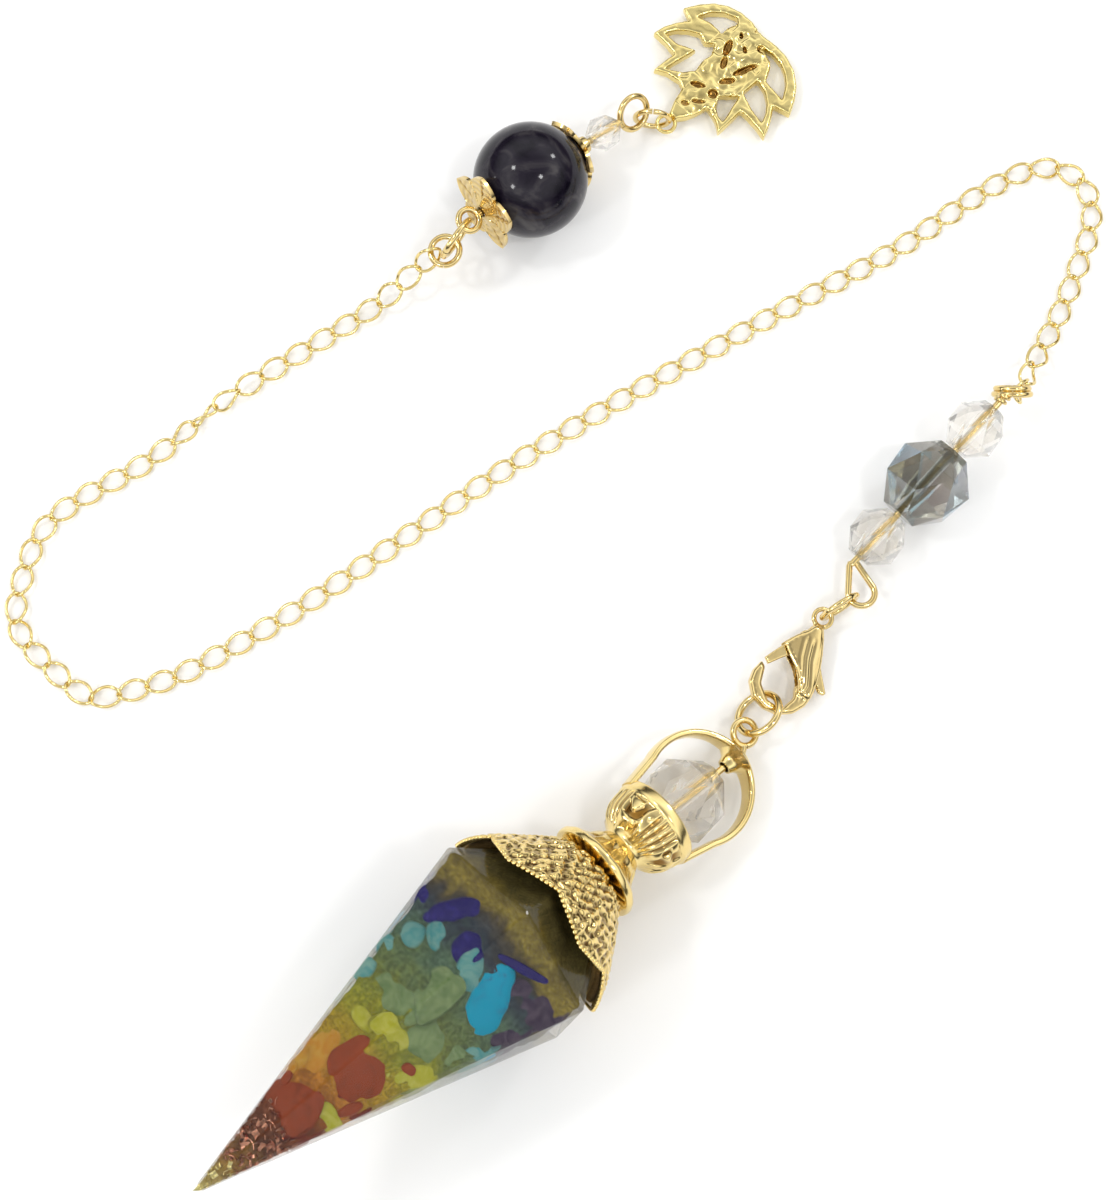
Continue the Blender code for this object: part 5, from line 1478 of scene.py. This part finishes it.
@dataclass
class LotusCharm:
    """Openwork lotus, seen from its cast back: rounded bars and rough hollows."""

    origin: tuple = (10.0385, 43.3955, 1.0003)
    azimuth: float = 45.9
    drop: float = 2.0
    edge: float = 7.0
    leaf_start: float = 2.0
    heart_end: float = 11.5
    heart_half: float = 2.6
    # Hollows in the back: along, across, half length, half width, turn, depth
    hollows: tuple = (
        (9.20, 1.05, 0.80, 0.30, 24, 0.45),
        (7.87, 0.30, 0.60, 0.26, 27, 0.35),
        (10.93, 1.00, 0.28, 0.15, 43, 0.5),
        (10.11, -0.19, 0.32, 0.16, 49, 0.5),
        (8.66, -1.54, 1.15, 0.28, -21, 0.42),
        (6.74, -1.14, 0.66, 0.28, -35, 0.36),
        (4.65, 0.49, 0.62, 0.26, -62, 0.42),
        (4.95, -1.09, 0.42, 0.40, 80, 0.42),
        (2.52, 0.08, 0.32, 0.26, -67, 0.3),
        (11.14, -1.14, 0.34, 0.26, 63, 0.3),
        (12.30, 0.24, 0.30, 0.18, -22, 0.25),
        (3.49, -0.66, 0.55, 0.20, -51, 0.3),
    )

    def axes(self) -> Axes:
        """Frame with its origin in the eye and X towards the petals."""
        return axes_along(self.origin, heading(self.azimuth, -self.drop))

    def sunk(self, local: Array, normal: Array) -> Array:
        """The deepest of the soft-edged ellipses at each point of the upper face, roughened."""
        total = np.zeros(len(local))
        for along, across, long, wide, turn, depth in self.hollows:
            angle = math.radians(turn)
            x, y = local[:, 0] - along, local[:, 1] - across
            a = (x * math.cos(angle) + y * math.sin(angle)) / long
            b = (y * math.cos(angle) - x * math.sin(angle)) / wide
            rise = np.minimum(self.edge * (a**2 + b**2 - 1), 50.0)
            total = np.maximum(total, depth / (1 + np.exp(rise)))
        leaf = local[:, 0] > self.leaf_start
        heart = leaf * (local[:, 0] < self.heart_end) * (np.abs(local[:, 1]) < self.heart_half)
        rough = 0.05 * (1 + worms(local, 1.1, 31)) * heart
        skin = 0.012 * (1 + worms(local, 0.9, 32)) * leaf
        return (total + rough) * held(normal[:, 2] * 1.6) + skin

    def build(self) -> None:
        """Casts the charm with its hollows."""
        mesh = cast_copy("lotus_charm", 0.065, 28)
        carve(mesh, self.axes(), self.sunk)
        # Recess colour for the lotus's hollows: patina and painted shade
        finish = GoldPlate(colour=(0.83, 0.71, 0.31), patina_and_shade=(0.28, 0.15, 0.035), roughness=0.17)
        finished("lotus_charm_cast", mesh, finish, ("lotus_charm",))


@dataclass
class Studio:
    """Pale table, soft boxes and the camera, which looks almost straight down."""

    elevation: float = 77.0
    distance: float = 196.58
    lens: float = 69.0
    table: float = 1200.0
    # Ways to the soft boxes as unit vectors, and their power
    lamps: tuple = (
        ((-0.53, 0.115, 0.84), 0.36),
        ((0.354, -0.21, 0.91), 0.36),
        ((-0.58, -0.46, 0.67), 0.30),
        ((0.62, 0.51, 0.60), 0.30),
        ((-0.97, -0.03, 0.24), 0.22),
    )
    lamp_distance: float = 560.0
    lamp_size: float = 64.0
    # Light of the sky by the height of its way, and its strength
    sky_light: tuple = (
        (0, 0.35),
        (0.05, 0.05),
        (0.2, 0.08),
        (0.5, 1.3),
        (0.7, 1.6),
        (0.86, 0.8),
        (1, 0.42),
    )
    sky_strength: float = 0.95

    def floor(self) -> None:
        """Square table top just under the part, white with a faint mottle."""
        half = self.table / 2 * MM
        mesh = bpy.data.meshes.new("table_top")
        corners = ((-half, -half), (half, -half), (half, half), (-half, half))
        mesh.from_pydata([(x, y, -0.03 * MM) for x, y in corners], [], [(0, 1, 2, 3)])
        recipe = Recipe("table_white")
        tones = ((0.3, (0.955, 0.955, 0.95)), (0.7, (0.98, 0.98, 0.975)))
        shade = recipe.ramp(recipe.noise(0.02, 3.0), tones)
        mesh.materials.append(recipe.set(Base_Color=shade, Roughness=0.6))
        floor = linked("table_top", mesh)

    def sky(self) -> None:
        """White ceiling over a grey band near the horizon, which the metal's edges pick up."""
        world = bpy.data.worlds.new("studio")
        bpy.context.scene.world = world
        world.use_nodes = True
        tree = world.node_tree
        place = tree.nodes.new("ShaderNodeTexCoord")
        split = tree.nodes.new("ShaderNodeSeparateXYZ")
        ramp = tree.nodes.new("ShaderNodeValToRGB")
        tree.links.new(place.outputs["Generated"], split.inputs[0])
        tree.links.new(split.outputs["Z"], ramp.inputs["Fac"])
        set_stops(ramp.color_ramp, tuple((share, (light,) * 3) for share, light in self.sky_light))
        tree.links.new(ramp.outputs["Color"], tree.nodes["Background"].inputs["Color"])
        tree.nodes["Background"].inputs["Strength"].default_value = self.sky_strength

    def lamp(self, name: str, spot: Array, power: float) -> None:
        """Square soft box at a spot in millimetres that faces the part's middle."""
        light = bpy.data.lights.new(name, "AREA")
        light.size = self.lamp_size * MM
        light.energy = power
        lamp = linked(name, light)
        lamp.location = spot * MM
        way = unit(spot)
        lamp.rotation_euler = (math.acos(way[2]), 0.0, math.atan2(way[1], way[0]) + math.pi / 2)

    def camera(self) -> None:
        """Long lens at the photograph's angle, aimed at the middle of the design frame."""
        lens = bpy.data.cameras.new("camera")
        lens.lens = self.lens
        lens.sensor_width = 36.0
        lens.sensor_fit = "AUTO"
        lens.clip_start = 0.005
        lens.clip_end = 10.0
        camera = linked("camera", lens)
        lift = math.radians(self.elevation)
        back = self.distance * np.array((0.0, -math.cos(lift), math.sin(lift)))
        camera.location = [(SHIFT[n] * (n < 2) + back[n]) * MM for n in range(3)]
        camera.rotation_euler = (math.radians(90 - self.elevation), 0.0, 0.0)
        bpy.context.scene.camera = camera

    def build(self) -> None:
        """Sets the table, the light and the camera."""
        self.floor()
        self.sky()
        for number, (spot, power) in enumerate(self.lamps):
            self.lamp(f"soft_box_{number}", self.lamp_distance * np.array(spot), power)
        self.camera()
        bpy.context.scene.view_settings.view_transform = "Standard"


def main() -> None:
    """Builds every sub-assembly in order."""
    logging.basicConfig(level=logging.INFO, format="%(message)s")
    Pendant().build()
    for ring in RINGS:
        ring.build()
    LobsterClasp().build()
    Strand().build()
    CurbChain().build()
    FingerBead().build()
    LotusCharm().build()
    Studio().build()


if __name__ == "__main__":
    main()
